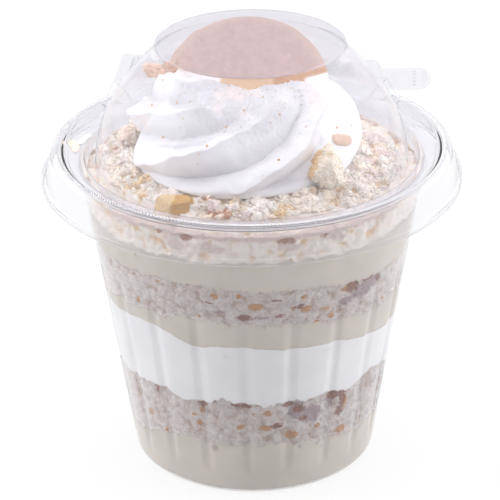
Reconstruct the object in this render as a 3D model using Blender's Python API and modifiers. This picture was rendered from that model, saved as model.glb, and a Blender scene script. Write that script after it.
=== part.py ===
# Layered custard parfait in a clear cup with a snapped-down dome lid.
# The cup stands on z = 0 with its axis on Z. The tear strip that joins lid and cup is at +Y,
# so the front of the cup is -Y. Bearings are measured from the front, positive towards +X.

import math
import random

import bmesh
import bpy
from mathutils import Matrix, Vector

MM = 0.001

# Driving dimensions of the cup, in metres
RIM_RADIUS = 51.0 * MM          # outer edge of the rim's flat top
RIM_HEIGHT = 84.9 * MM
SKIRT_RADIUS = 53.65 * MM       # widest point, at the foot of the skirt
SKIRT_HEIGHT = 76.3 * MM
BASE_RADIUS = 31.5 * MM         # where the wall's line meets z = 0
WALL_SLOPE = 0.152              # growth of the wall's radius for each unit of height
SHEET = 0.6 * MM                # thickness of the formed plastic
BASE_ROUND = 2.1 * MM
GAP = 0.3 * MM                  # clearance between pieces that touch

# Flutes pressed into the cup's wall
FLUTES = 20
FLUTE_DEPTH = 0.5 * MM
FLUTE_BEARING = math.radians(-3.7)
FLUTE_FOOT = (6.0 * MM, 10.0 * MM)      # where a flute starts, and where it has its full depth
FLUTE_HEAD = (54.5 * MM, 57.5 * MM)
CUP_STEPS = FLUTES * 3

# Ledge inside the rim, on which the lid lies, and the flat panel behind it
LEDGE_HEIGHT = 82.6 * MM
RING_RADIUS = 47.9 * MM         # inner face of the raised rim
RIM_POINTS = 8                  # points of the cup's profile that belong to its skirt and rim
CUP_PANEL = (math.radians(46.0), math.radians(51.0))    # from the back: flat up to, gone after
LID_PANEL = (math.radians(37.0), math.radians(44.0))
PANEL_BACK = 48.7 * MM
PANEL_TAPER = 0.12              # loss of half width for each unit of depth

# Lid
LID_STEPS = 40
DOME_FOOT_RADIUS = 39.8 * MM
DOME_FOOT_HEIGHT = 81.6 * MM
DOME_APEX_HEIGHT = 119.4 * MM   # where the dome's curve would close without the stacking disc
DOME_POWER = 1.79
DISC_RADIUS = 24.0 * MM
DISC_HEIGHT = 112.1 * MM
DISC_WALL = 3.3 * MM
MOAT_HEIGHT = 80.4 * MM

# Food
FOOD_STEPS = 30
HEAP_SHELF = 79.2 * MM          # height of the crumbs under the lid's moat
HEAP_EDGE = 38.2 * MM           # the heap rises inside this radius
CREAM_SEAT = 84.3 * MM          # level on which the whipped cream sits
CREAM_SEAT_RADIUS = 28.5 * MM
COOKIE_CENTRE = Vector((-1.0 * MM, 5.0 * MM, 98.6 * MM))
COOKIE_RADIUS = 20.8 * MM
COOKIE_CROWN = 3.6 * MM
COOKIE_SOLE = 2.8 * MM
COOKIE_TILT = math.radians(35.0)    # leans back, with its domed face up and to the front

# Tear strip and pull tab
STRIP_Y = 49.6 * MM
STRIP_FOOT = 82.0 * MM
STRIP_TOP_LEFT = 89.6 * MM
STRIP_TOP_RIGHT = 86.9 * MM
STRIP_HALF_FOOT = 37.4 * MM
STRIP_HALF_TOP = 34.6 * MM
STRIP_DEPTH = 2.2 * MM
TAB_END = 49.3 * MM
TAB_LOW = 78.2 * MM
TAB_HIGH = 84.4 * MM


# ---------------------------------------------------------------- helpers

def clear_scene():
    for item in list(bpy.data.objects):
        bpy.data.objects.remove(item, do_unlink=True)


def collection(name):
    group = bpy.data.collections.new(name)
    bpy.context.scene.collection.children.link(group)
    return group


def material(name, colour, roughness, alpha=1.0):
    result = bpy.data.materials.new(name)
    result.use_nodes = True
    shader = result.node_tree.nodes["Principled BSDF"]
    shader.inputs["Base Color"].default_value = (*colour, 1.0)
    shader.inputs["Roughness"].default_value = roughness
    shader.inputs["Metallic"].default_value = 0.0
    shader.inputs["Alpha"].default_value = alpha
    result.diffuse_color = (*colour, alpha)
    return result


def add_object(name, mesh, finish, group):
    item = bpy.data.objects.new(name, mesh)
    if finish is not None:
        mesh.materials.append(finish)
    group.objects.link(item)
    return item


def turned(name, profile, steps, finish, group):
    """Turn a profile of (radius, height) points about Z. It runs down its outer side."""
    mesh = bpy.data.meshes.new(name)
    points = [(radius, 0.0, height) for radius, height in profile]
    edges = [(index, index + 1) for index in range(len(points) - 1)]
    mesh.from_pydata(points, edges, [])
    item = add_object(name, mesh, finish, group)
    screw = item.modifiers.new("Turn", "SCREW")
    screw.axis = "Z"
    screw.angle = 2.0 * math.pi
    screw.steps = steps
    screw.render_steps = steps
    screw.use_merge_vertices = True
    screw.merge_threshold = 0.00001
    return item


def apply_modifiers(item):
    depsgraph = bpy.context.evaluated_depsgraph_get()
    mesh = bpy.data.meshes.new_from_object(item.evaluated_get(depsgraph))
    item.modifiers.clear()
    item.data = mesh


def reshape(item, rule):
    """Move each vertex of an applied mesh to rule(x, y, z)."""
    for vertex in item.data.vertices:
        vertex.co = rule(*vertex.co)
    item.data.update()


def smooth(item, angle=math.radians(35.0)):
    item.data.shade_smooth()
    item.data.set_sharp_from_angle(angle=angle)


def thicken(item, thickness):
    shell = item.modifiers.new("Sheet", "SOLIDIFY")
    shell.thickness = thickness
    shell.offset = -1.0
    shell.use_even_offset = True
    shell.use_rim = True


def bearing_of(x, y):
    return math.atan2(x, -y)


def at_bearing(radius, bearing, height):
    return Vector((radius * math.sin(bearing), -radius * math.cos(bearing), height))


def ramp(value, low, high):
    """0 below low, 1 above high, with an even slope between."""
    return min(max((value - low) / (high - low), 0.0), 1.0)


# ---------------------------------------------------------------- cup

def wall_radius(height):
    return BASE_RADIUS + WALL_SLOPE * height


def flute_depth(bearing, height):
    """A flute is a shallow V that fades out at its foot and its head."""
    pitch = 2.0 * math.pi / FLUTES
    offset = (bearing - FLUTE_BEARING + pitch / 2.0) % pitch - pitch / 2.0
    across = max(0.0, 1.0 - abs(offset) / (pitch / 3.0))
    along = ramp(height, *FLUTE_FOOT) * (1.0 - ramp(height, *FLUTE_HEAD))
    return FLUTE_DEPTH * across * along


def panel_share(bearing, limits):
    """1 on the flat panel at the back, 0 round the rest of the rim."""
    return 1.0 - ramp(math.pi - abs(bearing), *limits)


def panel_radius(bearing, back):
    """Distance from the axis to the panel's straight rear or side edge, along a bearing."""
    across = abs(math.sin(bearing))
    behind = max(-math.cos(bearing), 0.01)
    half_at_axis = STRIP_HALF_FOOT + PANEL_TAPER * PANEL_BACK
    return min(back / behind, half_at_axis / (across + PANEL_TAPER * behind))


def cup_profile():
    """Underside of the skirt and rim, then the outside of the wall, down to the base."""
    skirt = [
        (SKIRT_RADIUS - SHEET, SKIRT_HEIGHT),
        (SKIRT_RADIUS - 1.5 * SHEET, SKIRT_HEIGHT + 1.5 * MM),
        (SKIRT_RADIUS - 1.7 * MM, SKIRT_HEIGHT + 1.9 * MM),
        (RIM_RADIUS - SHEET, RIM_HEIGHT - SHEET - 0.5 * MM),
        (RIM_RADIUS - SHEET - 0.5 * MM, RIM_HEIGHT - SHEET),
        (RING_RADIUS + SHEET + 0.4 * MM, RIM_HEIGHT - SHEET),
        (RING_RADIUS + SHEET, RIM_HEIGHT - SHEET - 0.4 * MM),
        (RING_RADIUS + SHEET - 0.2 * MM, LEDGE_HEIGHT - SHEET),
    ]
    ledge_root = wall_radius(LEDGE_HEIGHT)
    wall = [
        (ledge_root + 0.5 * MM, LEDGE_HEIGHT - SHEET),
        (wall_radius(LEDGE_HEIGHT - 1.4 * MM), LEDGE_HEIGHT - 1.4 * MM),
    ]
    for height in (FLUTE_HEAD[1], FLUTE_HEAD[0], FLUTE_FOOT[1], FLUTE_FOOT[0]):
        wall.append((wall_radius(height), height))
    corner_radius = wall_radius(BASE_ROUND) - BASE_ROUND
    corner = []
    for step in range(4):
        angle = math.radians(30.0 * step)
        corner.append((corner_radius + BASE_ROUND * math.cos(angle),
                       BASE_ROUND - BASE_ROUND * math.sin(angle)))
    return skirt + wall + corner + [(0.0, 0.0)]


def build_cup(finish, group):
    profile = cup_profile()
    cup = turned("cup", profile, CUP_STEPS, finish, group)
    apply_modifiers(cup)

    def rule(x, y, z):
        radius = math.hypot(x, y)
        bearing = bearing_of(x, y) + FLUTE_BEARING
        bearing = (bearing + math.pi) % (2.0 * math.pi) - math.pi
        place = min(range(len(profile)),
                    key=lambda index: math.dist((radius, z), profile[index]))
        if place < RIM_POINTS:
            # At the back the skirt and rim run out flat, in their own order, as the panel
            share = panel_share(bearing, CUP_PANEL)
            order = (RIM_POINTS - place) / RIM_POINTS
            flat = RING_RADIUS - 1.0 * MM
            flat += (panel_radius(bearing, PANEL_BACK) - flat) * order
            radius += (flat - radius) * share
            z += (LEDGE_HEIGHT - SHEET - z) * share
        radius -= flute_depth(bearing, z)
        return at_bearing(radius, bearing, z)

    reshape(cup, rule)
    smooth(cup)
    thicken(cup, SHEET)
    return cup


# ---------------------------------------------------------------- lid

def dome_radius(height):
    share = (height - DOME_FOOT_HEIGHT) / (DOME_APEX_HEIGHT - DOME_FOOT_HEIGHT)
    return DOME_FOOT_RADIUS * (1.0 - share ** DOME_POWER) ** (1.0 / DOME_POWER)


def lid_profile():
    """Upper side of the lid, from the stacking disc over the dome and moat to its lip."""
    disc_foot = DISC_HEIGHT - DISC_WALL
    profile = [
        (0.0, DISC_HEIGHT),
        (DISC_RADIUS - 0.4 * MM, DISC_HEIGHT),
        (DISC_RADIUS, DISC_HEIGHT - 0.4 * MM),
        (DISC_RADIUS + 0.4 * MM, disc_foot + 0.2 * MM),
    ]
    rows = 6
    for row in range(rows + 1):
        # Rows lie closer together where the dome turns over
        height = disc_foot - (disc_foot - DOME_FOOT_HEIGHT) * (row / rows) ** 1.2
        profile.append((dome_radius(height), height))
    profile += [
        (DOME_FOOT_RADIUS + 0.6 * MM, MOAT_HEIGHT),
        (DOME_FOOT_RADIUS + 1.9 * MM, MOAT_HEIGHT),
        (DOME_FOOT_RADIUS + 2.5 * MM, LEDGE_HEIGHT),
        (DOME_FOOT_RADIUS + 3.3 * MM, LEDGE_HEIGHT + GAP + SHEET),
        (RING_RADIUS - GAP - 2.0 * SHEET, LEDGE_HEIGHT + GAP + SHEET),
        (RING_RADIUS - GAP - 1.5 * SHEET, RIM_HEIGHT - 0.3 * MM),
    ]
    return profile


def build_lid(finish, group):
    lid = turned("lid", lid_profile(), LID_STEPS, finish, group)
    apply_modifiers(lid)
    flange_edge = RING_RADIUS - GAP - 2.2 * SHEET

    def rule(x, y, z):
        radius = math.hypot(x, y)
        bearing = bearing_of(x, y)
        if radius > flange_edge:
            # The lip runs out into a flat panel over the cup's panel
            share = panel_share(bearing, LID_PANEL)
            back = PANEL_BACK - 1.2 * MM + (radius - flange_edge)
            radius += (panel_radius(bearing, back) - radius) * share
            z += (LEDGE_HEIGHT + GAP + SHEET - z) * share
        return at_bearing(radius, bearing, z)

    reshape(lid, rule)
    smooth(lid)
    thicken(lid, SHEET)
    return lid


# ---------------------------------------------------------------- tear strip

def build_tear_strip(finish, group, tools):
    """A band folded over at the top, with a flat pull tab at its right-hand end."""
    rows = 6
    columns = 12
    mesh = bpy.data.meshes.new("tear_strip")
    body = bmesh.new()
    bmesh.ops.create_grid(body, x_segments=columns, y_segments=rows, size=1.0)
    for vertex in body.verts:
        across = vertex.co.x
        turn = math.pi * (vertex.co.y + 1.0) / 2.0
        top = STRIP_TOP_LEFT + (STRIP_TOP_RIGHT - STRIP_TOP_LEFT) * (across + 1.0) / 2.0
        rise = math.sin(turn) ** 0.45 if 0.0 < vertex.co.y + 1.0 < 2.0 else 0.0
        half = STRIP_HALF_FOOT + (STRIP_HALF_TOP - STRIP_HALF_FOOT) * rise
        vertex.co = Vector((
            across * half,
            STRIP_Y + STRIP_DEPTH / 2.0 * (1.0 - math.cos(turn)),
            STRIP_FOOT + (top - STRIP_FOOT) * rise,
        ))
    bmesh.ops.recalc_face_normals(body, faces=body.faces)
    body.to_mesh(mesh)
    body.free()
    strip = add_object("tear_strip", mesh, finish, group)
    thicken(strip, SHEET)

    tab = build_pull_tab(tools)
    join = strip.modifiers.new("Tab", "BOOLEAN")
    join.operation = "UNION"
    join.solver = "EXACT"
    join.object = tab
    return strip


def build_pull_tab(tools):
    """Outline of the pull tab, with a round free end, as a thin standing plate."""
    half = (TAB_HIGH - TAB_LOW) / 2.0
    middle = (TAB_HIGH + TAB_LOW) / 2.0
    end_round = 0.75 * half
    root = STRIP_HALF_TOP - 3.0 * MM
    points = [(root, -half)]
    for centre_z, start in ((-half + end_round, -90.0), (half - end_round, 0.0)):
        for step in range(5):
            angle = math.radians(start + 22.5 * step)
            points.append((TAB_END - end_round + end_round * math.cos(angle),
                           centre_z + end_round * math.sin(angle)))
    points.append((root, half))
    outline = bpy.data.curves.new("pull_tab_outline", "CURVE")
    outline.dimensions = "2D"
    outline.fill_mode = "BOTH"
    outline.extrude = SHEET / 2.0
    spline = outline.splines.new("POLY")
    spline.points.add(len(points) - 1)
    for point, (x, z) in zip(spline.points, points):
        point.co = (x, z, 0.0, 1.0)
    spline.use_cyclic_u = True
    shape = bpy.data.objects.new("pull_tab_outline", outline)
    tools.objects.link(shape)
    shape.rotation_euler = (math.radians(90.0), 0.0, 0.0)
    shape.location = (0.0, STRIP_Y + STRIP_DEPTH - SHEET / 2.0, middle)
    bpy.context.view_layer.update()
    depsgraph = bpy.context.evaluated_depsgraph_get()
    mesh = bpy.data.meshes.new_from_object(shape.evaluated_get(depsgraph))
    body = bmesh.new()
    body.from_mesh(mesh)
    bmesh.ops.remove_doubles(body, verts=body.verts, dist=0.00001)
    bmesh.ops.recalc_face_normals(body, faces=body.faces)
    body.to_mesh(mesh)
    body.free()
    tab = add_object("pull_tab_body", mesh, None, tools)
    tab.matrix_world = shape.matrix_world.copy()
    bpy.data.objects.remove(shape, do_unlink=True)
    tab.hide_render = True
    tab.display_type = "WIRE"
    return tab


# ---------------------------------------------------------------- layers of food

def food_radius(height):
    """Radius of the food at a height: inside the wall and clear of the flutes."""
    return wall_radius(height) - SHEET - FLUTE_DEPTH - GAP


def wave(bearing, mean, *terms):
    """mean plus a cosine and a sine share for each whole number of waves round the cup."""
    total = mean
    for count, cosine, sine in terms:
        total += cosine * math.cos(count * bearing) + sine * math.sin(count * bearing)
    return total * MM


# Heights of the boundaries between the layers, from the lowest, as waves round the cup
BOUNDARIES = {
    "base": (1.0,),
    "custard_bottom": (13.2, (1, 2.0, 0.8), (2, 1.4, 0.0), (5, 0.4, 0.3)),
    "crumble_lower": (28.6, (3, 0.3, -0.2), (6, 0.3, 0.5)),
    "cream_middle": (45.1, (1, 0.0, -3.4), (3, 0.0, 0.6), (7, 0.3, 0.2)),
    "custard_middle": (51.1, (1, 1.8, 0.0), (2, 0.4, 0.0), (5, 0.2, 0.2)),
    "crumble_middle": (62.4, (1, 0.8, -1.0), (5, 0.4, 0.0)),
    "custard_top": (71.2, (2, 0.4, 0.3), (5, 0.5, -0.3)),
}


def build_layer(name, below, finish, group):
    """A layer fills the cup between the boundary below it and its own upper boundary."""
    top = BOUNDARIES[name]
    bottom = BOUNDARIES[below]
    shares = (0.0, 0.62, 1.0)
    # The turned blank is 1 high and 1 wide: the rule gives it its true shape
    profile = [(share, 1.0) for share in shares] + [(share, 0.0) for share in reversed(shares)]
    layer = turned(name, profile, FOOD_STEPS, finish, group)
    apply_modifiers(layer)

    def rule(x, y, z):
        share = math.hypot(x, y)
        bearing = bearing_of(x, y)
        terms, side = (top, -1.0) if z > 0.5 else (bottom, 1.0)
        edge = wave(bearing, *terms)
        middle = terms[0] * MM
        height = middle + (edge - middle) * share ** 2 + side * GAP / 2.0
        return at_bearing(share * food_radius(height), bearing, height)

    reshape(layer, rule)
    smooth(layer)
    return layer


def heap_height(radius, bearing):
    """Upper side of the crumb heap under the dome."""
    edge = wave(bearing, 81.6, (1, 0.5, -1.2), (5, 0.3, 0.7), (7, -0.4, 0.5))
    share = ramp(radius, CREAM_SEAT_RADIUS, HEAP_EDGE)
    return CREAM_SEAT + (edge - CREAM_SEAT) * share


def build_heap(finish, group):
    """Crumbs from the top custard up to the heap's uneven surface."""
    bottom = BOUNDARIES["custard_top"]
    rings = (0.0, 0.5 * CREAM_SEAT_RADIUS, CREAM_SEAT_RADIUS, 33.4 * MM, HEAP_EDGE,
             HEAP_EDGE + 0.6 * MM)
    profile = [(radius, 1.0) for radius in rings]
    profile += [(1.0, 1.0), (1.0, 0.0), (0.62, 0.0), (0.0, 0.0)]
    heap = turned("crumble_top", profile, FOOD_STEPS, finish, group)
    apply_modifiers(heap)

    def rule(x, y, z):
        radius = math.hypot(x, y)
        bearing = bearing_of(x, y)
        if z > 0.5 and radius < HEAP_EDGE + 0.1 * MM:
            return at_bearing(radius, bearing, heap_height(radius, bearing))
        if z > 0.5 and radius < 0.5:
            return at_bearing(radius, bearing, HEAP_SHELF)
        if z > 0.5:
            return at_bearing(food_radius(HEAP_SHELF), bearing, HEAP_SHELF)
        middle = bottom[0] * MM
        height = middle + (wave(bearing, *bottom) - middle) * radius ** 2 + GAP / 2.0
        return at_bearing(radius * food_radius(height), bearing, height)

    reshape(heap, rule)
    smooth(heap)
    return heap


# ---------------------------------------------------------------- whipped cream

CREAM_RIDGES = 6
CREAM_CENTRE = Vector((-1.2 * MM, -1.0 * MM, 0.0))
CREAM_ROWS = (
    # radius and height of the swirl without its ridges, in millimetres
    (0.0, 104.6), (13.0, 104.6), (19.0, 104.3), (23.0, 103.0), (25.6, 100.0), (27.0, 96.4),
    (27.8, 92.6), (28.0, 88.6), (27.2, 86.2), (25.4, 84.6), (0.0, 84.6),
)
CREAM_FRONT_SHARE = 0.5         # height of the swirl in front of the cookie, as a share
CREAM_SIDES = (13.0 * MM, 22.0 * MM)    # it rises between these distances to either side


def build_cream(finish, group):
    """Piped swirl: six ridges that climb to the right, pressed down where the cookie leans in."""
    profile = [(radius * MM, height * MM) for radius, height in CREAM_ROWS]
    cream = turned("whipped_cream", profile, FOOD_STEPS, finish, group)
    apply_modifiers(cream)
    foot = CREAM_SEAT + GAP

    def rule(x, y, z):
        radius = math.hypot(x, y)
        bearing = bearing_of(x, y)
        rise = z - foot
        twist = math.radians(6.5) * rise / MM
        ridge = 0.5 + 0.5 * math.cos(CREAM_RIDGES * (bearing - twist))
        depth = 3.2 * MM * ramp(radius, 4.0 * MM, 18.0 * MM) * ramp(rise, 0.0, 2.5 * MM)
        radius += depth * (ridge - 0.35)
        # The cookie's weight flattens the middle and the front, and the sides stand up
        beside = max(ramp(abs(x), *CREAM_SIDES), ramp(y, 4.0 * MM, 16.0 * MM))
        share = CREAM_FRONT_SHARE + (1.0 - CREAM_FRONT_SHARE) * beside
        return at_bearing(radius, bearing, foot + rise * share) + CREAM_CENTRE

    reshape(cream, rule)
    smooth(cream, math.radians(60.0))
    return cream


# ---------------------------------------------------------------- wafer cookie

def cookie_profile(margin=0.0):
    """Domed top, rounded edge and flat sole. margin swells it for cutting its neighbour."""
    radius = COOKIE_RADIUS + margin
    crown = COOKIE_CROWN + margin
    sole = COOKIE_SOLE + margin
    profile = []
    for step in range(5):
        share = math.sin(math.radians(22.5 * step))
        profile.append((radius * share, crown * math.sqrt(max(0.0, 1.0 - share ** 2.4))))
    profile.append((radius - 0.5 * MM, -0.6 * sole))
    profile.append((radius - 2.0 * MM, -sole))
    profile.append((0.0, -sole))
    return profile


def cookie_place():
    return Matrix.Translation(COOKIE_CENTRE) @ Matrix.Rotation(COOKIE_TILT, 4, "X")


def build_cookie(finish, group):
    cookie = turned("wafer_cookie", cookie_profile(), 24, finish, group)
    apply_modifiers(cookie)
    smooth(cookie)
    cookie.matrix_world = cookie_place()
    return cookie


def cut(item, cutter, name):
    cutter.hide_render = True
    cutter.display_type = "WIRE"
    step = item.modifiers.new(name, "BOOLEAN")
    step.operation = "DIFFERENCE"
    step.solver = "EXACT"
    step.object = cutter


# ---------------------------------------------------------------- loose pieces

# name, centre, half sizes and turn about Z, all in millimetres and degrees
PIECES = (
    ("wafer_piece_front", (-17.8, -30.8, 80.9), (5.6, 2.8, 3.2), -29.0),
    ("cake_piece_right", (18.6, -22.4, 88.4), (4.4, 3.6, 4.4), 35.0),
    ("cake_piece_left", (-31.8, 6.0, 84.6), (2.8, 3.6, 2.6), 10.0),
    ("wafer_sliver", (-23.9, 2.6, 104.3), (2.9, 2.0, 1.2), 10.0),
)


def piece_mesh(name, half_sizes, seed, margin=0.0):
    """A broken lump: a ball with each corner pushed in or out a little."""
    chance = random.Random(seed)
    mesh = bpy.data.meshes.new(name)
    body = bmesh.new()
    bmesh.ops.create_icosphere(body, subdivisions=2, radius=1.0)
    for vertex in body.verts:
        reach = 1.0 + chance.uniform(-0.12, 0.08)
        vertex.co = Vector([
            math.copysign(abs(part) ** 0.75, part) * half * MM * reach + math.copysign(margin, part)
            for part, half in zip(vertex.co, half_sizes)
        ])
    body.to_mesh(mesh)
    body.free()
    return mesh


def build_pieces(finishes, group, tools, neighbours):
    for seed, (name, centre, half_sizes, turn) in enumerate(PIECES):
        place = Matrix.Translation(Vector(centre) * MM) @ Matrix.Rotation(math.radians(turn), 4, "Z")
        finish = finishes["wafer" if "wafer" in name else "cake"]
        piece = add_object(name, piece_mesh(name, half_sizes, seed), finish, group)
        piece.matrix_world = place
        smooth(piece, math.radians(50.0))
        # The lump is sunk in the crumbs or the cream, which lie round it
        room = add_object(name + "_room", piece_mesh(name + "_room", half_sizes, seed, GAP),
                          None, tools)
        room.matrix_world = place
        for neighbour in neighbours:
            cut(neighbour, room, name)


# ---------------------------------------------------------------- whole part

def build():
    clear_scene()
    parfait = collection("parfait")
    tools = collection("cutters")
    clear_plastic = material("clear_plastic", (0.93, 0.94, 0.96), 0.06, alpha=0.25)
    custard = material("custard", (0.86, 0.81, 0.70), 0.45)
    crumbs = material("cake_crumbs", (0.83, 0.74, 0.66), 0.85)
    whipped = material("whipped_cream", (0.95, 0.95, 0.96), 0.55)
    wafer = material("wafer", (0.80, 0.62, 0.42), 0.75)

    build_cup(clear_plastic, parfait)
    build_lid(clear_plastic, parfait)
    build_tear_strip(clear_plastic, parfait, tools)

    finishes = {"custard": custard, "crumble": crumbs, "cream": whipped}
    names = list(BOUNDARIES)
    for below, name in zip(names, names[1:]):
        build_layer(name, below, finishes[name.split("_")[0]], parfait)
    heap = build_heap(crumbs, parfait)
    cream = build_cream(whipped, parfait)
    build_cookie(wafer, parfait)
    cookie_room = turned("cookie_room", cookie_profile(GAP), 24, None, tools)
    cookie_room.matrix_world = cookie_place()
    cut(cream, cookie_room, "Cookie")
    build_pieces({"wafer": wafer, "cake": crumbs}, parfait, tools, (heap, cream))


build()
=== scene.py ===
import math

import bmesh
import bpy
import numpy as np
from mathutils import Euler, Matrix, Vector


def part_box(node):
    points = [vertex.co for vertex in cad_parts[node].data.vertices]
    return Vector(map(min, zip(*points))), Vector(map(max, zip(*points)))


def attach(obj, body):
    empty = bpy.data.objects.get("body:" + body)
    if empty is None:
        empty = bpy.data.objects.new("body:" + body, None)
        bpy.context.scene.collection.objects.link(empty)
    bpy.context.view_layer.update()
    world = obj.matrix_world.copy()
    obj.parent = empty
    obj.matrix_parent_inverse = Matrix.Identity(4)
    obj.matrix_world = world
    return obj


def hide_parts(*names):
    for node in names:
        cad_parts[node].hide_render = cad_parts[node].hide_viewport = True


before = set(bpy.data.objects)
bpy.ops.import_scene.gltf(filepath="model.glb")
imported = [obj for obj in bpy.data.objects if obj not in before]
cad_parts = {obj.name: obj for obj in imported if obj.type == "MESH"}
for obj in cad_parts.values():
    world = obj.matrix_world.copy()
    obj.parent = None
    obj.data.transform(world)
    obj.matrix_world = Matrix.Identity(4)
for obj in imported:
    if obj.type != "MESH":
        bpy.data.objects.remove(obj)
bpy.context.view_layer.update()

mm = 0.001
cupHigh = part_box("cup")[1]
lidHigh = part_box("lid")[1]

# The cup stands on z = 0 with its axis on Z, and the tear strip is at +Y.
# A bearing is measured from the front (-Y), positive towards +X.
cupShape = {
    "rimHeight": cupHigh.z,
    "skirtRadius": cupHigh.x,
    "skirtHeight": 76.3 * mm,
    "baseRadius": 31.5 * mm,
    "baseCorner": 2.1 * mm,
    "wallSlope": 0.152,
    "sheet": 0.3 * mm,
    "rimRadius": 51.0 * mm,
    "rimBend": 1.3 * mm,
    "ringRadius": 47.9 * mm,
    "ringLean": (1.0 * mm, -0.9 * mm),   # at the top and at the foot of the ring's inner side
    "ledgeHeight": 82.6 * mm,
    # steps of the skirt, in mm out from its radius and up from its foot
    "skirtSteps": ((-0.35, 0.0), (0.0, 0.15), (0.0, 1.3), (-0.35, 1.55), (-0.95, 1.65), (-1.1, 2.1)),
    "panelBack": 48.7 * mm,
    "panelHalf": 37.4 * mm,
    "panelTaper": 0.12,
    "panelInset": 1.3 * mm,
    "panelLimits": (46.0, 51.0),         # degrees from the back where the panel ends
    "stepsRound": 540,
}
fluteShape = {
    "Count": 20.0,
    "Depth": 0.45 * mm,
    "Phase": math.radians(-3.7),
    "Half Width": math.radians(3.6),
    "Foot Low": 5.0 * mm,
    "Foot High": 10.0 * mm,
    "Head Low": 54.5 * mm,
    "Head High": 58.5 * mm,
}


# Small helpers for numbers and curves

def wallRadius(height):
    return cupShape["baseRadius"] + cupShape["wallSlope"] * height


def ramp(value, low, high):
    share = np.clip((value - low) / (high - low), 0.0, 1.0)
    return share * share * (3.0 - 2.0 * share)


def bearings(steps):
    return np.arange(steps) * 2.0 * np.pi / steps - np.pi


def places(radius, bearing, height):
    return np.stack([radius * np.sin(bearing), -radius * np.cos(bearing),
                     height + 0.0 * bearing], axis=-1)


def spunOut(profile, bearing):
    # the radius and height of each profile point, repeated at every bearing
    profile = np.array(profile)
    return profile[:, 0][:, None] + 0.0 * bearing, profile[:, 1][:, None] + 0.0 * bearing


def arcPoints(centre, radius, start, end, steps):
    angles = np.radians(np.linspace(start, end, steps + 1))
    return [(centre[0] + radius * math.cos(a), centre[1] + radius * math.sin(a)) for a in angles]


def closeRows(profile, longest):
    # adds points so that no stretch of the profile is longer than it should be
    points = [profile[0]]
    for start, end in zip(profile, profile[1:]):
        pieces = max(1, int(math.ceil(math.dist(start, end) / longest)))
        for piece in range(1, pieces + 1):
            share = piece / pieces
            points.append((start[0] + (end[0] - start[0]) * share,
                           start[1] + (end[1] - start[1]) * share))
    return points


def smoothRound(values, reach):
    # evens out values that run once round a circle
    window = np.exp(-np.linspace(-2.0, 2.0, 2 * reach + 1) ** 2)
    wrapped = np.concatenate([values[-reach:], values, values[:reach]])
    return np.convolve(wrapped, window / window.sum(), "valid")


class Ripple:
    # smooth random waves round a circle or in space, the same each run

    def __init__(self, seed, count, shortest, longest):
        draw = np.random.default_rng(seed)
        lengths = shortest * (longest / shortest) ** draw.random(count)
        turn = draw.normal(size=(count, 3))
        turn /= np.linalg.norm(turn, axis=1, keepdims=True)
        self.vectors = turn * (2.0 * np.pi / lengths)[:, None]
        self.phases = draw.random(count) * 2.0 * np.pi
        self.weights = lengths / lengths.max()
        self.total = math.sqrt((self.weights ** 2).sum() / 2.0)

    def at(self, points):
        flat = points.reshape(-1, 3)
        total = np.zeros(len(flat))
        for vector, phase, weight in zip(self.vectors, self.phases, self.weights):
            total += weight * np.sin(flat @ vector + phase)
        return (total / self.total).reshape(points.shape[:-1])


# Helpers for meshes

def meshFrom(name, points, faces):
    mesh = bpy.data.meshes.new(name)
    mesh.from_pydata([tuple(p) for p in points], [], faces)
    mesh.update()
    return mesh


def loft(name, rings, poles=(True, True)):
    # rings run down the outer side, each one counter-clockwise, and close at a pole
    rows, steps = rings.shape[0], rings.shape[1]
    points = rings.reshape(-1, 3)
    faces = []
    for row in range(rows - 1):
        a, b = row * steps, (row + 1) * steps
        for step in range(steps):
            following = (step + 1) % steps
            faces.append((a + step, b + step, b + following, a + following))
    extra = []
    if poles[0]:
        extra.append(rings[0].mean(axis=0))
        top = len(points)
        faces += [(top, step, (step + 1) % steps) for step in range(steps)]
    if poles[1]:
        extra.append(rings[-1].mean(axis=0))
        foot = len(points) + len(extra) - 1
        last = (rows - 1) * steps
        faces += [(foot, last + (step + 1) % steps, last + step) for step in range(steps)]
    if extra:
        points = np.concatenate([points, np.array(extra)])
    return meshFrom(name, points, faces)


def addObject(name, data):
    thing = bpy.data.objects.new(name, data)
    bpy.context.scene.collection.objects.link(thing)
    return thing


def addPiece(name, mesh, material, sharp=None):
    piece = addObject(name, mesh)
    mesh.materials.clear()
    mesh.materials.append(material)
    mesh.shade_smooth()
    if sharp is not None:
        mesh.set_sharp_from_angle(angle=math.radians(sharp))
    return piece


def setAttribute(mesh, name, values):
    layer = mesh.attributes.new(name, "FLOAT", "POINT")
    layer.data.foreach_set("value", np.asarray(values, np.float32))


def vertexPlaces(mesh):
    points = np.zeros(len(mesh.vertices) * 3)
    mesh.vertices.foreach_get("co", points)
    return points.reshape(-1, 3)


def settle(piece):
    # turns the evaluated piece into a plain mesh
    depsgraph = bpy.context.evaluated_depsgraph_get()
    mesh = bpy.data.meshes.new_from_object(piece.evaluated_get(depsgraph))
    piece.modifiers.clear()
    piece.data = mesh
    return piece


def thicken(piece, thickness):
    sheet = piece.modifiers.new("Sheet", "SOLIDIFY")
    sheet.thickness = thickness
    sheet.offset = -1.0
    sheet.use_even_offset = True
    sheet.use_rim = True


def finishPiece(piece, slot, *nodes):
    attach(piece, "root")
    if nodes:
        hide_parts(*nodes)


# Helpers for node trees

def pick(sockets, name):
    return next(s for s in sockets if s.name == name and s.enabled)


def setSocket(tree, socket, value):
    # a socket is linked, and anything else becomes the fixed value
    if isinstance(value, bpy.types.NodeSocket):
        tree.links.new(value, socket)
    else:
        socket.default_value = value


def feed(tree, node, **values):
    # spaces in a socket's name are written as underscores
    for name, value in values.items():
        setSocket(tree, pick(node.inputs, name.replace("_", " ")), value)
    return node


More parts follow.
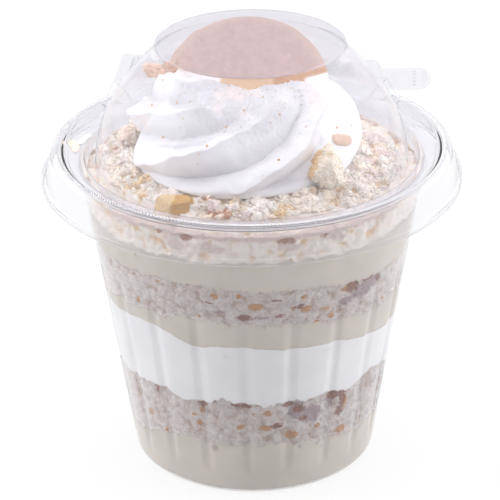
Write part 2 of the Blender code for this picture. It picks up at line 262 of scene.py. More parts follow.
def addNode(tree, kind, settings=None, **values):
    node = tree.nodes.new(kind)
    for name, value in (settings or {}).items():
        setattr(node, name, value)
    return feed(tree, node, **values)


def calc(tree, operation, *values):
    node = addNode(tree, "ShaderNodeMath", {"operation": operation})
    for socket, value in zip(node.inputs, values):
        setSocket(tree, socket, value)
    return node.outputs[0]


def vectorCalc(tree, operation, *values, scale=None):
    node = addNode(tree, "ShaderNodeVectorMath", {"operation": operation})
    for socket, value in zip(node.inputs, values):
        setSocket(tree, socket, value)
    if scale is not None:
        feed(tree, node, Scale=scale)
    return next(s for s in node.outputs if s.enabled)


def easedRange(tree, value, low, high, first, last):
    node = addNode(tree, "ShaderNodeMapRange", {"interpolation_type": "SMOOTHSTEP"},
                   Value=value, From_Min=low, From_Max=high, To_Min=first, To_Max=last)
    return node.outputs["Result"]


socketKinds = {float: "NodeSocketFloat", int: "NodeSocketInt", str: "NodeSocketString"}


def geometryTree(name, values):
    # an empty tree with named inputs, and the sockets where it starts and ends
    tree = bpy.data.node_groups.new(name, "GeometryNodeTree")
    tree.is_modifier = True
    tree.interface.new_socket("Geometry", in_out="INPUT", socket_type="NodeSocketGeometry")
    for title, value in values.items():
        kind = "NodeSocketMaterial" if value is None else socketKinds[type(value)]
        socket = tree.interface.new_socket(title, in_out="INPUT", socket_type=kind)
        if value is not None:
            socket.default_value = value
    tree.interface.new_socket("Geometry", in_out="OUTPUT", socket_type="NodeSocketGeometry")
    given = tree.nodes.new("NodeGroupInput").outputs
    return tree, given, tree.nodes.new("NodeGroupOutput").inputs[0]


def ownPosition(tree):
    return tree.nodes.new("GeometryNodeInputPosition").outputs[0]


def meshField(tree, name):
    # reads an attribute that lies on the mesh
    return addNode(tree, "GeometryNodeInputNamedAttribute", {"data_type": "FLOAT"},
                   Name=name).outputs["Attribute"]


def storedField(tree, geometry, name, value):
    return addNode(tree, "GeometryNodeStoreNamedAttribute",
                   {"data_type": "FLOAT", "domain": "POINT"},
                   Geometry=geometry, Name=name, Value=value).outputs[0]


def chance(tree, low, high, seed):
    kind = "FLOAT_VECTOR" if isinstance(low, tuple) else "FLOAT"
    node = addNode(tree, "FunctionNodeRandomValue", {"data_type": kind}, Min=low, Max=high, Seed=seed)
    return pick(node.outputs, "Value")


def axisVector(tree, x, y, z):
    return addNode(tree, "ShaderNodeCombineXYZ", X=x, Y=y, Z=z).outputs[0]


def moved(tree, geometry, offset):
    return addNode(tree, "GeometryNodeSetPosition", Geometry=geometry, Offset=offset).outputs[0]


def endTree(tree, geometry, material, out):
    # the last steps of a tree that makes its own pieces
    soft = addNode(tree, "GeometryNodeSetShadeSmooth", Geometry=geometry)
    done = addNode(tree, "GeometryNodeSetMaterial", Geometry=soft.outputs[0], Material=material)
    tree.links.new(done.outputs[0], out)


def applyTree(piece, tree, **values):
    modifier = piece.modifiers.new(tree.name, "NODES")
    modifier.node_group = tree
    for item in tree.interface.items_tree:
        key = item.name.replace(" ", "_")
        if item.in_out == "INPUT" and key in values:
            modifier[item.identifier] = values[key]
    return piece


# Geometry Nodes: presses the flutes into whatever lies against the wall

def fluteTree():
    tree, given, out = geometryTree("pressFlutes", fluteShape)
    x, y, z = addNode(tree, "ShaderNodeSeparateXYZ", Vector=ownPosition(tree)).outputs
    bearing = calc(tree, "ARCTAN2", x, calc(tree, "MULTIPLY", y, -1.0))
    half = calc(tree, "DIVIDE", math.pi, given["Count"])
    offset = calc(tree, "WRAP", calc(tree, "SUBTRACT", bearing, given["Phase"]),
                  half, calc(tree, "MULTIPLY", half, -1.0))
    across = easedRange(tree, calc(tree, "ABSOLUTE", offset), 0.0, given["Half Width"],
                        1.0, 0.0)
    foot = easedRange(tree, z, given["Foot Low"], given["Foot High"], 0.0, 1.0)
    head = easedRange(tree, z, given["Head Low"], given["Head High"], 1.0, 0.0)
    flat = axisVector(tree, x, y, 0.0)
    # only what stands well away from the axis is pressed in
    outer = easedRange(tree, vectorCalc(tree, "LENGTH", flat), 20.0 * mm, 30.0 * mm, 0.0, 1.0)
    depth = given["Depth"]
    for share in (across, foot, head, outer):
        depth = calc(tree, "MULTIPLY", depth, share)
    inward = vectorCalc(tree, "SCALE", vectorCalc(tree, "NORMALIZE", flat),
                        scale=calc(tree, "MULTIPLY", depth, -1.0))
    tree.links.new(moved(tree, given["Geometry"], inward), out)
    return tree


# Geometry Nodes: crumbly relief, cut into a surface where its attribute "relief" says so

def reliefTree():
    tree, given, out = geometryTree("crumbRelief", {
        "Lump Size": 2.4 * mm, "Lump Depth": 1.0 * mm, "Grain Size": 0.7 * mm,
        "Grain Depth": 0.35 * mm, "Shift": 0.0})
    shift = axisVector(tree, given["Shift"], given["Shift"], 0.0)
    spot = vectorCalc(tree, "ADD", ownPosition(tree), shift)
    bent = addNode(tree, "ShaderNodeTexNoise", Vector=spot,
                   Scale=calc(tree, "DIVIDE", 1.0, given["Lump Size"]), Detail=2.0)
    nudge = vectorCalc(tree, "SUBTRACT", bent.outputs["Color"], (0.5, 0.5, 0.5))
    spot = vectorCalc(tree, "ADD", spot, vectorCalc(tree, "SCALE", nudge,
                                                    scale=given["Lump Size"]))
    # lumps, smaller knobs on each lump, and grains
    lumps, knobs, grains = (
        addNode(tree, "ShaderNodeTexVoronoi", {"feature": "F1"}, Vector=spot,
                Scale=calc(tree, "DIVIDE", finer, given[size])).outputs["Distance"]
        for finer, size in ((1.0, "Lump Size"), (2.4, "Lump Size"), (1.0, "Grain Size")))
    # lumps and knobs are round, with narrow gaps between them
    wide, close = (calc(tree, "POWER", calc(tree, "MULTIPLY", distance, 1.25), 1.5)
                   for distance in (lumps, knobs))
    gap = calc(tree, "ADD", wide, calc(tree, "MULTIPLY", close, 0.35))
    lumpDrop = calc(tree, "MULTIPLY", gap, given["Lump Depth"])
    grainDrop = calc(tree, "MULTIPLY", grains, given["Grain Depth"])
    share = meshField(tree, "relief")
    drop = calc(tree, "MULTIPLY", calc(tree, "ADD", lumpDrop, grainDrop), share)
    normal = tree.nodes.new("GeometryNodeInputNormal").outputs[0]
    # the depth of the gaps is kept for the painted shade that darkens them
    marked = storedField(tree, given["Geometry"], "hollow",
                         calc(tree, "MULTIPLY", gap, share))
    inward = vectorCalc(tree, "SCALE", normal, scale=calc(tree, "MULTIPLY", drop, -1.0))
    tree.links.new(moved(tree, marked, inward), out)
    return tree


# Geometry Nodes: scatters rough crumbs over a surface, thick where an attribute says so

def crumbTree(level):
    tree, given, out = geometryTree("looseCrumbs%d" % level, {
        "Spread By": "spread", "Density": 1.0, "Smallest": 0.5 * mm, "Largest": 1.5 * mm,
        "Rise": 0.2, "Flatness": 0.8, "Roughness": 0.5, "Seed": 1, "Material": None})
    seed = given["Seed"]
    spread = meshField(tree, given["Spread By"])
    scatter = addNode(tree, "GeometryNodeDistributePointsOnFaces", Mesh=given["Geometry"],
                      Density=calc(tree, "MULTIPLY", given["Density"], spread), Seed=seed)
    # most crumbs are small, and each keeps its own size and tone
    share = calc(tree, "POWER", chance(tree, 0.0, 1.0, seed), 2.0)
    room = calc(tree, "SUBTRACT", given["Largest"], given["Smallest"])
    size = calc(tree, "ADD", given["Smallest"], calc(tree, "MULTIPLY", share, room))
    sized = storedField(tree, scatter.outputs["Points"], "crumbSize", size)
    tone = chance(tree, 0.0, 1.0, calc(tree, "ADD", seed, 7.0))
    toned = storedField(tree, sized, "tone", tone)
    lift = calc(tree, "MULTIPLY", size, given["Rise"])
    lifted = moved(tree, toned, vectorCalc(tree, "SCALE", scatter.outputs["Normal"], scale=lift))
    ball = addNode(tree, "GeometryNodeMeshIcoSphere", Radius=0.5, Subdivisions=level)
    spin = chance(tree, (-0.5, -0.5, 0.0), (0.5, 0.5, 6.28), seed)
    aligned = addNode(tree, "FunctionNodeRotateRotation", {"rotation_space": "LOCAL"},
                      Rotation=scatter.outputs["Rotation"], Rotate_By=spin)
    stretch = chance(tree, (0.75, 0.75, 0.75), (1.25, 1.25, 1.25), calc(tree, "ADD", seed, 3.0))
    flat = axisVector(tree, 1.0, 1.0, given["Flatness"])
    scale = vectorCalc(tree, "SCALE", vectorCalc(tree, "MULTIPLY", stretch, flat), scale=size)
    copies = addNode(tree, "GeometryNodeInstanceOnPoints", Points=lifted,
                     Instance=ball.outputs["Mesh"], Rotation=aligned.outputs[0], Scale=scale)
    real = addNode(tree, "GeometryNodeRealizeInstances", Geometry=copies.outputs[0])
    # the surface of each is pushed about in proportion to its size
    own = meshField(tree, "crumbSize")
    coarse = addNode(tree, "ShaderNodeTexNoise", Vector=ownPosition(tree),
                     Scale=calc(tree, "DIVIDE", 1.7, own), Detail=2.0, Roughness=0.55)
    push = vectorCalc(tree, "SUBTRACT", coarse.outputs["Color"], (0.5, 0.5, 0.5))
    reach = calc(tree, "MULTIPLY", own, given["Roughness"])
    push = vectorCalc(tree, "SCALE", push, scale=calc(tree, "MULTIPLY", reach, 2.0))
    endTree(tree, moved(tree, real.outputs[0], push), given["Material"], out)
    return tree


# Geometry Nodes: a ring of short slanting ribs

def ribRingTree():
    tree, given, out = geometryTree("ribRing", {
        "Ribs": 360, "Radius": 49.0 * mm, "Height": 84.9 * mm, "Rib Length": 3.0 * mm,
        "Rib Width": 0.4 * mm, "Rib Rise": 0.2 * mm, "Slant": 0.6, "Material": None})
    ring = addNode(tree, "GeometryNodeMeshCircle", {"fill_type": "NONE"},
                   Vertices=given["Ribs"], Radius=given["Radius"])
    size = axisVector(tree, given["Rib Length"], given["Rib Width"],
                      given["Rib Rise"])
    ball = addNode(tree, "GeometryNodeMeshUVSphere", Segments=8, Rings=4, Radius=0.5)
    x, y = addNode(tree, "ShaderNodeSeparateXYZ", Vector=ownPosition(tree)).outputs[:2]
    turn = calc(tree, "ADD", calc(tree, "ARCTAN2", y, x), given["Slant"])
    copies = addNode(tree, "GeometryNodeInstanceOnPoints", Points=ring.outputs[0],
                     Instance=ball.outputs["Mesh"], Rotation=axisVector(tree, 0.0, 0.0, turn),
                     Scale=size)
    real = addNode(tree, "GeometryNodeRealizeInstances", Geometry=copies.outputs[0])
    rise = axisVector(tree, 0.0, 0.0, given["Height"])
    endTree(tree, moved(tree, real.outputs[0], rise), given["Material"], out)
    return tree


pressFlutes = fluteTree()
crumbRelief = reliefTree()
looseCrumbs = {level: crumbTree(level) for level in (1, 2)}
ribRing = ribRingTree()
print("geometry trees ready")


# Materials

def newMaterial(name):
    material = bpy.data.materials.new(name)
    material.use_nodes = True
    tree = material.node_tree
    return material, tree, tree.nodes["Principled BSDF"]


def objectSpot(tree):
    return tree.nodes.new("ShaderNodeTexCoord").outputs["Object"]


def painted(tree, name):
    # how strongly a named patch lies on the mesh
    return addNode(tree, "ShaderNodeAttribute", {"attribute_name": name}).outputs["Fac"]


def raggedEdge(tree, rate, roughness):
    return addNode(tree, "ShaderNodeTexNoise", Vector=objectSpot(tree), Scale=rate, Detail=5.0,
                   Roughness=roughness).outputs["Fac"]


def ramped(tree, factor, stops):
    node = tree.nodes.new("ShaderNodeValToRGB")
    band = node.color_ramp
    while len(band.elements) < len(stops):
        band.elements.new(0.5)
    for element, (place, colour) in zip(band.elements, stops):
        element.position = place
        element.color = (*colour, 1.0)
    tree.links.new(factor, node.inputs["Fac"])
    return node.outputs["Color"]


def blended(tree, factor, first, second, mode="MIX"):
    node = tree.nodes.new("ShaderNodeMix")
    node.data_type = "RGBA"
    node.blend_type = mode
    for name, value in (("Factor", factor), ("A", first), ("B", second)):
        value = (*value, 1.0) if isinstance(value, tuple) else value
        setSocket(tree, pick(node.inputs, name), value)
    return pick(node.outputs, "Result")


def bumped(tree, height, strength, distance):
    node = addNode(tree, "ShaderNodeBump", Height=height, Strength=strength, Distance=distance)
    return node.outputs["Normal"]


def effectGroup(name, inputs, outputs):
    tree = bpy.data.node_groups.new(name, "ShaderNodeTree")
    for title, (kind, value) in inputs.items():
        socket = tree.interface.new_socket(title, in_out="INPUT", socket_type=kind)
        socket.default_value = value
    for title, kind in outputs.items():
        tree.interface.new_socket(title, in_out="OUTPUT", socket_type=kind)
    given = tree.nodes.new("NodeGroupInput").outputs
    return tree, given, tree.nodes.new("NodeGroupOutput").inputs


def crumbGrainGroup():
    # colour and height of baked crumb: coarse mottling, fine grains and small toasted specks
    tree, given, out = effectGroup(
        "crumbGrain",
        {"Pale": ("NodeSocketColor", (0.9, 0.85, 0.8, 1.0)),
         "Deep": ("NodeSocketColor", (0.6, 0.5, 0.4, 1.0)),
         "Grain": ("NodeSocketFloat", 0.6 * mm),
         "Speck Gap": ("NodeSocketFloat", 3.0 * mm),
         "Speck Share": ("NodeSocketFloat", 0.3)},
        {"Color": "NodeSocketColor", "Height": "NodeSocketFloat", "Speck": "NodeSocketFloat"})
    spot = objectSpot(tree)
    rate = calc(tree, "DIVIDE", 1.0, given["Grain"])
    coarse = addNode(tree, "ShaderNodeTexNoise", Vector=spot, Detail=4.0, Roughness=0.7,
                     Scale=calc(tree, "MULTIPLY", rate, 0.35))
    fine = addNode(tree, "ShaderNodeTexNoise", Vector=spot, Scale=rate, Detail=3.0, Roughness=0.75)
    cells = addNode(tree, "ShaderNodeTexVoronoi", Vector=spot, Scale=rate)
    mottle = calc(tree, "ADD", calc(tree, "MULTIPLY", coarse.outputs["Fac"], 0.55),
                  calc(tree, "MULTIPLY", fine.outputs["Fac"], 0.45))
    share = easedRange(tree, mottle, 0.36, 0.64, 0.0, 1.0)
    colour = blended(tree, share, given["Pale"], given["Deep"])
    height = calc(tree, "SUBTRACT", calc(tree, "MULTIPLY", fine.outputs["Fac"], 0.8),
                  calc(tree, "MULTIPLY", cells.outputs["Distance"], 0.6))
    # specks sit in some of the cells of a wider net, with ragged edges
    nudge = vectorCalc(tree, "SCALE", fine.outputs["Color"], scale=0.9 * mm)
    net = addNode(tree, "ShaderNodeTexVoronoi", Vector=vectorCalc(tree, "ADD", spot, nudge),
                  Scale=calc(tree, "DIVIDE", 1.0, given["Speck Gap"]))
    draw = addNode(tree, "ShaderNodeSeparateColor", Color=net.outputs["Color"]).outputs
    chosen = calc(tree, "LESS_THAN", draw[0], given["Speck Share"])
    reach = calc(tree, "ADD", 0.12, calc(tree, "MULTIPLY", draw[1], 0.16))
    inside = easedRange(tree, calc(tree, "SUBTRACT", net.outputs["Distance"], reach), -0.04, 0.03,
                        1.0, 0.0)
    tree.links.new(colour, out["Color"])
    tree.links.new(height, out["Height"])
    tree.links.new(calc(tree, "MULTIPLY", chosen, inside), out["Speck"])
    return tree


def softMottleGroup():
    # faint drifts of colour and a barely uneven skin, as on custard and cream
    tree, given, out = effectGroup(
        "softMottle",
        {"Light": ("NodeSocketColor", (0.9, 0.9, 0.9, 1.0)),
         "Dim": ("NodeSocketColor", (0.8, 0.8, 0.8, 1.0)),
         "Size": ("NodeSocketFloat", 6.0 * mm)},
        {"Color": "NodeSocketColor", "Height": "NodeSocketFloat"})
    spot = objectSpot(tree)
    rate = calc(tree, "DIVIDE", 1.0, given["Size"])
    drift = addNode(tree, "ShaderNodeTexNoise", Vector=spot, Scale=rate, Detail=3.0)
    skin = addNode(tree, "ShaderNodeTexNoise", Vector=spot, Detail=4.0,
                   Scale=calc(tree, "MULTIPLY", rate, 9.0))
    colour = blended(tree, easedRange(tree, drift.outputs["Fac"], 0.35, 0.65, 0.0, 1.0),
                     given["Light"], given["Dim"])
    tree.links.new(colour, out["Color"])
    tree.links.new(skin.outputs["Fac"], out["Height"])
    return tree


crumbGrain = crumbGrainGroup()
softMottle = softMottleGroup()


def useGroup(tree, group, **values):
    node = tree.nodes.new("ShaderNodeGroup")
    node.node_tree = group
    for name, value in values.items():
        socket = node.inputs[name]
        socket.default_value = (*value, 1.0) if isinstance(value, tuple) else value
    return node


def clearPlastic(name, tint, roughness, clearness, frost=0.0, bend=1.28):
    # "frost" on the mesh dulls it in places
    material, tree, shader = newMaterial(name)
    feed(tree, shader, Base_Color=(*tint, 1.0), Roughness=roughness, Metallic=0.0, IOR=bend)
    if frost:
        dulled = calc(tree, "MULTIPLY_ADD", painted(tree, "frost"), frost, roughness)
        feed(tree, shader, Roughness=dulled)
    shader.inputs["Transmission Weight"].default_value = clearness
    waves = addNode(tree, "ShaderNodeTexNoise", Vector=objectSpot(tree), Scale=90.0, Detail=1.0)
    feed(tree, shader, Normal=bumped(tree, waves.outputs["Fac"], 0.12, 0.3 * mm))
    # lamps shine through the sheet instead of casting its shadow
    through = addNode(tree, "ShaderNodeBsdfTransparent", Color=(0.97, 0.97, 0.98, 1.0))
    path = tree.nodes.new("ShaderNodeLightPath")
    mix = tree.nodes.new("ShaderNodeMixShader")
    tree.links.new(path.outputs["Is Shadow Ray"], mix.inputs[0])
    tree.links.new(shader.outputs[0], mix.inputs[1])
    tree.links.new(through.outputs[0], mix.inputs[2])
    tree.links.new(mix.outputs[0], tree.nodes["Material Output"].inputs["Surface"])
    return material


def softenInside(shader, weight, depth):
    # light spreads a little way into crumb
    shader.inputs["Subsurface Weight"].default_value = weight
    shader.inputs["Subsurface Radius"].default_value = (1.0, 0.7, 0.5)
    shader.inputs["Subsurface Scale"].default_value = depth


def softFood(name, light, dim, size, roughness, bump, darkened=None, ragged=False, tint=None):
    # its greying attribute puts painted shade into the swirl's grooves, and darkens the layers' edges
    # and patches; "tint" reddens it
    material, tree, shader = newMaterial(name)
    group = useGroup(tree, softMottle, Light=light, Dim=dim, Size=size)
    colour = group.outputs["Color"]
    if darkened:
        groove = painted(tree, "darkened")
        low, high = 0.25, 0.9
        if ragged:
            groove = calc(tree, "ADD", groove,
                          calc(tree, "MULTIPLY", raggedEdge(tree, 1100.0, 0.75), 1.3))
            low, high = 0.95, 1.35
        colour = blended(tree, easedRange(tree, groove, low, high, 0.0, 1.0), colour, darkened)
    if tint:
        colour = blended(tree, painted(tree, "tint"), colour, tint)
    feed(tree, shader, Base_Color=colour, Roughness=roughness,
         Normal=bumped(tree, group.outputs["Height"], bump, 0.3 * mm))
    shader.inputs["Specular IOR Level"].default_value = 0.35
    return material


def crumbFood(name, look, byTone=False):
    # three attributes on the mesh colour it gold, blush and brown in patches with ragged edges, and the
    # depth of its gaps paints shade into them, darker and browner; loose crumbs also differ by "tone"
    material, tree, shader = newMaterial(name)
    group = useGroup(tree, crumbGrain, **{
        "Pale": look["pale"], "Deep": look["deep"], "Grain": look["grain"] * mm,
        "Speck Gap": look.get("gap", 3.0) * mm, "Speck Share": look.get("specks", 0.0)})
    colour = group.outputs["Color"]
    if byTone:
        shade = ramped(tree, painted(tree, "tone"), [(0.0, (0.90, 0.86, 0.80)),
                                                     (0.5, (1.0, 1.0, 1.0)),
                                                     (1.0, (1.03, 1.01, 0.98))])
        colour = blended(tree, 1.0, colour, shade, "MULTIPLY")
    # painted shade: the deeper the gap, the darker and browner
    if "hollow" in look:
        depth = easedRange(tree, painted(tree, "hollow"), *look["hollows"], 0.0, 0.85)
        colour = blended(tree, depth, colour, look["hollow"])
    speck = calc(tree, "MULTIPLY", group.outputs["Speck"], 0.9)
    colour = blended(tree, speck, colour, look.get("speck", stains["brown"]))
    ragged = calc(tree, "MULTIPLY_ADD", raggedEdge(tree, 900.0, 0.7), 3.0, -0.5)
    for stain in ("gold", "blush", "brown"):
        patch = calc(tree, "MULTIPLY", painted(tree, stain), ragged)
        share = easedRange(tree, patch, *look.get("edges", (0.33, 0.6)), 0.0, 0.88)
        colour = blended(tree, share, colour, look.get(stain, stains[stain]))
    feed(tree, shader, Base_Color=colour, Roughness=0.85,
         Normal=bumped(tree, group.outputs["Height"], look.get("bump", 0.4), look["grain"] * mm))
    shader.inputs["Specular IOR Level"].default_value = 0.1
    softenInside(shader, look.get("soft", 0.0), 0.4 * mm)
    return material


# the usual colours of stained patches, and what each crumb has of its own: colours, among them the
# painted shade of its hollows, grain and speck gap in mm, share of specks, where that shade and the
# patches fade in, and how far light spreads into it
stains = {"gold": (0.72, 0.50, 0.24), "blush": (0.76, 0.60, 0.56), "brown": (0.42, 0.17, 0.07)}
crumbLooks = {
    "crumble": {"pale": (0.84, 0.78, 0.75), "deep": (0.60, 0.50, 0.46), "grain": 0.6, "bump": 0.7,
                "brown": (0.27, 0.085, 0.045), "gold": (0.58, 0.27, 0.08), "blush": (0.40, 0.29, 0.31),
                "speck": (0.56, 0.27, 0.09), "gap": 3.2, "specks": 0.14,
                "hollow": (0.50, 0.37, 0.29), "hollows": (0.75, 1.4), "edges": (0.33, 0.75)},
    "heap": {"pale": (0.965, 0.905, 0.84), "deep": (0.945, 0.825, 0.69), "grain": 0.5, "bump": 0.25,
             "blush": (0.72, 0.58, 0.53), "brown": (0.40, 0.14, 0.05), "gold": (0.72, 0.46, 0.18),
             "speck": (0.66, 0.38, 0.15), "gap": 3.2, "specks": 0.05, "edges": (0.3, 0.8),
             "hollow": (0.82, 0.54, 0.28), "hollows": (0.7, 1.3), "soft": 0.3},
    "crumbs": {"pale": (0.965, 0.915, 0.865), "deep": (0.95, 0.855, 0.76), "grain": 0.5, "bump": 0.15,
               "blush": (0.80, 0.66, 0.64), "gold": (0.80, 0.56, 0.27), "edges": (0.35, 0.85),
               "hollow": (0.92, 0.71, 0.46), "hollows": (0.7, 1.3), "brown": (0.50, 0.22, 0.08),
               "soft": 0.3},
    "golden": {"pale": (0.78, 0.55, 0.28), "deep": (0.66, 0.40, 0.16), "grain": 0.6,
               "brown": (0.42, 0.20, 0.08)},
    "toasted": {"pale": (0.50, 0.24, 0.10), "deep": (0.36, 0.13, 0.05), "grain": 0.6,
                "brown": (0.25, 0.10, 0.06)},
    "cake": {"pale": (0.99, 0.90, 0.77), "deep": (0.98, 0.85, 0.67), "grain": 0.5, "bump": 0.2,
             "gold": (0.84, 0.54, 0.24), "hollow": (0.94, 0.72, 0.44), "hollows": (0.8, 1.5),
             "edges": (0.25, 0.9), "soft": 0.3},
    "rosy": {"pale": (0.99, 0.82, 0.69), "deep": (0.97, 0.76, 0.60), "grain": 0.7, "bump": 0.2,
             "hollow": (0.92, 0.62, 0.44), "hollows": (0.8, 1.5), "soft": 0.3},
    "chip": {"pale": (0.76, 0.54, 0.40), "deep": (0.68, 0.44, 0.30), "grain": 0.8, "bump": 0.4},
    "baked": {"pale": (0.84, 0.58, 0.43), "deep": (0.74, 0.45, 0.30), "grain": 0.7, "bump": 0.5,
              "soft": 0.3},
    "chunk": {"pale": (0.82, 0.62, 0.36), "deep": (0.78, 0.56, 0.29), "grain": 0.7, "bump": 0.4,
              "gold": (0.60, 0.33, 0.07), "edges": (0.15, 0.85), "soft": 0.2},
}

# plastic: tint, roughness, clearness, added roughness where it is frosted, and bending of light;
# soft food: its two tints, size of their drifts, roughness, bump, and the grey of its painted groove
# shade and darker edges
finishes = {
    "cup": clearPlastic("cupPlastic", (0.875, 0.875, 0.89), 0.03, 0.97, 0.0, 1.34),
    "lid": clearPlastic("lidPlastic", (0.872, 0.867, 0.89), 0.04, 0.95),
    "disc": clearPlastic("discPlastic", (0.79, 0.785, 0.82), 0.04, 0.94),
    "rim": clearPlastic("rimPlastic", (0.885, 0.885, 0.90), 0.04, 0.97, 0.10, 1.16),
    "lip": clearPlastic("lipPlastic", (0.95, 0.95, 0.96), 0.04, 1.0, 0.0, 1.05),
    "rib": clearPlastic("ribPlastic", (0.93, 0.93, 0.94), 0.2, 0.6),
    "strip": clearPlastic("stripPlastic", (0.88, 0.885, 0.91), 0.12, 0.85),
    "custard": softFood("palestCustard", (0.69, 0.635, 0.575), (0.65, 0.60, 0.54), 9.0 * mm, 0.4, 0.2,
                        (0.50, 0.42, 0.38), True),
    "cream": softFood("softCream", (0.87, 0.865, 0.865), (0.84, 0.835, 0.84), 7.0 * mm, 0.5, 0.25,
                      (0.70, 0.69, 0.70), tint=(0.90, 0.77, 0.71)),
}


def bakedWafer():
    material, tree, shader = newMaterial("bakedWafer")
    group = useGroup(tree, crumbGrain, **{"Pale": (0.585, 0.36, 0.305), "Deep": (0.475, 0.275, 0.22),
                                          "Grain": 1.6 * mm, "Speck Gap": 4.0 * mm,
                                          "Speck Share": 0.05})
    colour = group.outputs["Color"]
    # golden towards the edge, and painted gold below a curve where the lid disc's hazy reflection gives
    # way to a clearer view, browner at one side; both ends of that band turn near white, with cream
    # smeared at the left
    for stain, shade in (("gold", (0.74, 0.51, 0.32)), ("brown", (0.58, 0.32, 0.17)),
                         ("smear", (0.97, 0.95, 0.95))):
        colour = blended(tree, painted(tree, stain), colour, shade)
    colour = blended(tree, calc(tree, "MULTIPLY", group.outputs["Speck"], 0.5), colour,
                     (0.36, 0.17, 0.08))
    feed(tree, shader, Base_Color=colour, Roughness=0.7,
         Normal=bumped(tree, group.outputs["Height"], 0.22, 0.6 * mm))
    shader.inputs["Specular IOR Level"].default_value = 0.3
    return material


def sugarFinish():
    material, tree, shader = newMaterial("sugarGrain")
    colour = ramped(tree, painted(tree, "tone"), [(0.0, (0.80, 0.76, 0.72)),
                                                  (1.0, (0.98, 0.97, 0.96))])
    feed(tree, shader, Base_Color=colour, Roughness=0.25)
    return material


finishes["wafer"] = bakedWafer()
finishes["sugar"] = sugarFinish()
for kind, look in crumbLooks.items():
    finishes[kind] = crumbFood(kind + "Crumb", look, kind in ("crumbs", "golden", "toasted"))
print("materials ready")


# Cup

def panelEdge(bearing, back):
    # how far the straight rear and side edges of the flat panel are from the axis
    across = np.abs(np.sin(bearing))
    behind = np.maximum(-np.cos(bearing), 0.01)
    halfAtAxis = cupShape["panelHalf"] + cupShape["panelTaper"] * cupShape["panelBack"]
    return np.minimum(back / behind, halfAtAxis / (across + cupShape["panelTaper"] * behind))


def cupSections():
    # the skirt and rim, from the skirt's foot up and in to the ledge; then the wall and base
    sheet = cupShape["sheet"]
    skirt, low = cupShape["skirtRadius"] - sheet, cupShape["skirtHeight"]
    rim, top = cupShape["rimRadius"] - sheet, cupShape["rimHeight"] - sheet
    ring, ledge = cupShape["ringRadius"] + sheet, cupShape["ledgeHeight"] - sheet
    bend = cupShape["rimBend"]
    ringTop, ringFoot = cupShape["ringLean"]
    upper = [(skirt + out * mm, low + up * mm) for out, up in cupShape["skirtSteps"]]
    upper += arcPoints((rim - bend, top - bend), bend, 0.0, 90.0, 8)
    upper += [(ring + ringTop, top), (ring + ringFoot, ledge)]
    shoulder = 0.9 * mm
    root = wallRadius(ledge - 1.0 * mm)
    wall = [(root + 1.0 * mm, ledge)]
    wall += arcPoints((root + shoulder, ledge - shoulder), shoulder, 90.0, 180.0, 4)
    wall.append((wallRadius(2.6 * mm), 2.6 * mm))
    corner = cupShape["baseCorner"]
    centre = wallRadius(corner) - corner
    wall += arcPoints((centre, corner), corner, 0.0, -90.0, 6)
    wall += [(centre - 3.0 * mm, 0.0), (6.0 * mm, 0.0)]
    return closeRows(upper, 0.8 * mm), closeRows(wall, 2.2 * mm)


def buildCup():
    upper, wall = cupSections()
    count = len(upper)
    bearing = bearings(cupShape["stepsRound"])
    radius, height = spunOut(upper + wall, bearing)
    # at the back the skirt and the rim run out flat, one after the other, as the panel
    first, last = [math.radians(a) for a in cupShape["panelLimits"]]
    share = 1.0 - ramp(np.pi - np.abs(bearing), first, last)
    lengths = np.concatenate([[0.0], np.cumsum(np.hypot(*np.diff(np.array(upper), axis=0).T))])
    order = (1.0 - lengths / lengths[-1])[:, None]
    inner = cupShape["ringRadius"] - cupShape["panelInset"]
    flat = inner + (panelEdge(bearing, cupShape["panelBack"]) - inner) * order
    ledge = cupShape["ledgeHeight"] - cupShape["sheet"]
    radius[:count] += (flat - radius[:count]) * share
    height[:count] += (ledge - height[:count]) * share
    mesh = loft("clearCup", places(radius, bearing[None, :], height), (False, True))
    # the skirt's edge is duller than the rest
    points = vertexPlaces(mesh)
    reach = np.hypot(points[:, 0], points[:, 1])
    rim = cupShape["rimRadius"]
    setAttribute(mesh, "frost", ramp(reach, rim, rim + 1.0 * mm))
    cup = addPiece("clearCup", mesh, finishes["cup"], 50.0)
    # the rim and skirt are drawn out thinner than the wall, so they bend light less
    mesh.materials.append(finishes["rim"])
    for face in mesh.polygons:
        x, y, z = face.center
        face.material_index = int(math.hypot(x, y) > wallRadius(z) + 1.5 * mm)
    applyTree(cup, pressFlutes)
    thicken(cup, cupShape["sheet"])
    settle(cup)
    finishPiece(cup, "clear_plastic", "cup")


buildCup()
print("cup built")


# Lid

lidShape = {
    "sheet": 0.24 * mm,
    "domeFootRadius": 39.8 * mm,
    "domeFootHeight": 81.6 * mm,
    "domeApex": 119.4 * mm,
    "domePower": 1.79,
    "discRadius": 24.0 * mm,
    "discHeight": lidHigh.z,
    "discWall": 3.3 * mm,
    "moatHeight": 80.4 * mm,
    "gap": 0.3 * mm,
    "lipInset": 1.0 * mm,                # from the cup's ring to where the lip turns up
    "lipLean": 1.5 * mm,
    "lipDrop": 0.4 * mm,                 # how far the lip ends below the rim
    "flatFrom": 1.1 * mm,                # from the cup's ring to where the panel starts
    "panelInset": 2.4 * mm,
    "panelLimits": (37.0, 44.0),         # degrees from the back where the panel ends
    "stepsRound": 480,
}


def domeRadius(height):
    foot = lidShape["domeFootHeight"]
    share = np.clip((height - foot) / (lidShape["domeApex"] - foot), 0.0, 1.0)
    power = lidShape["domePower"]
    return lidShape["domeFootRadius"] * (1.0 - share ** power) ** (1.0 / power)


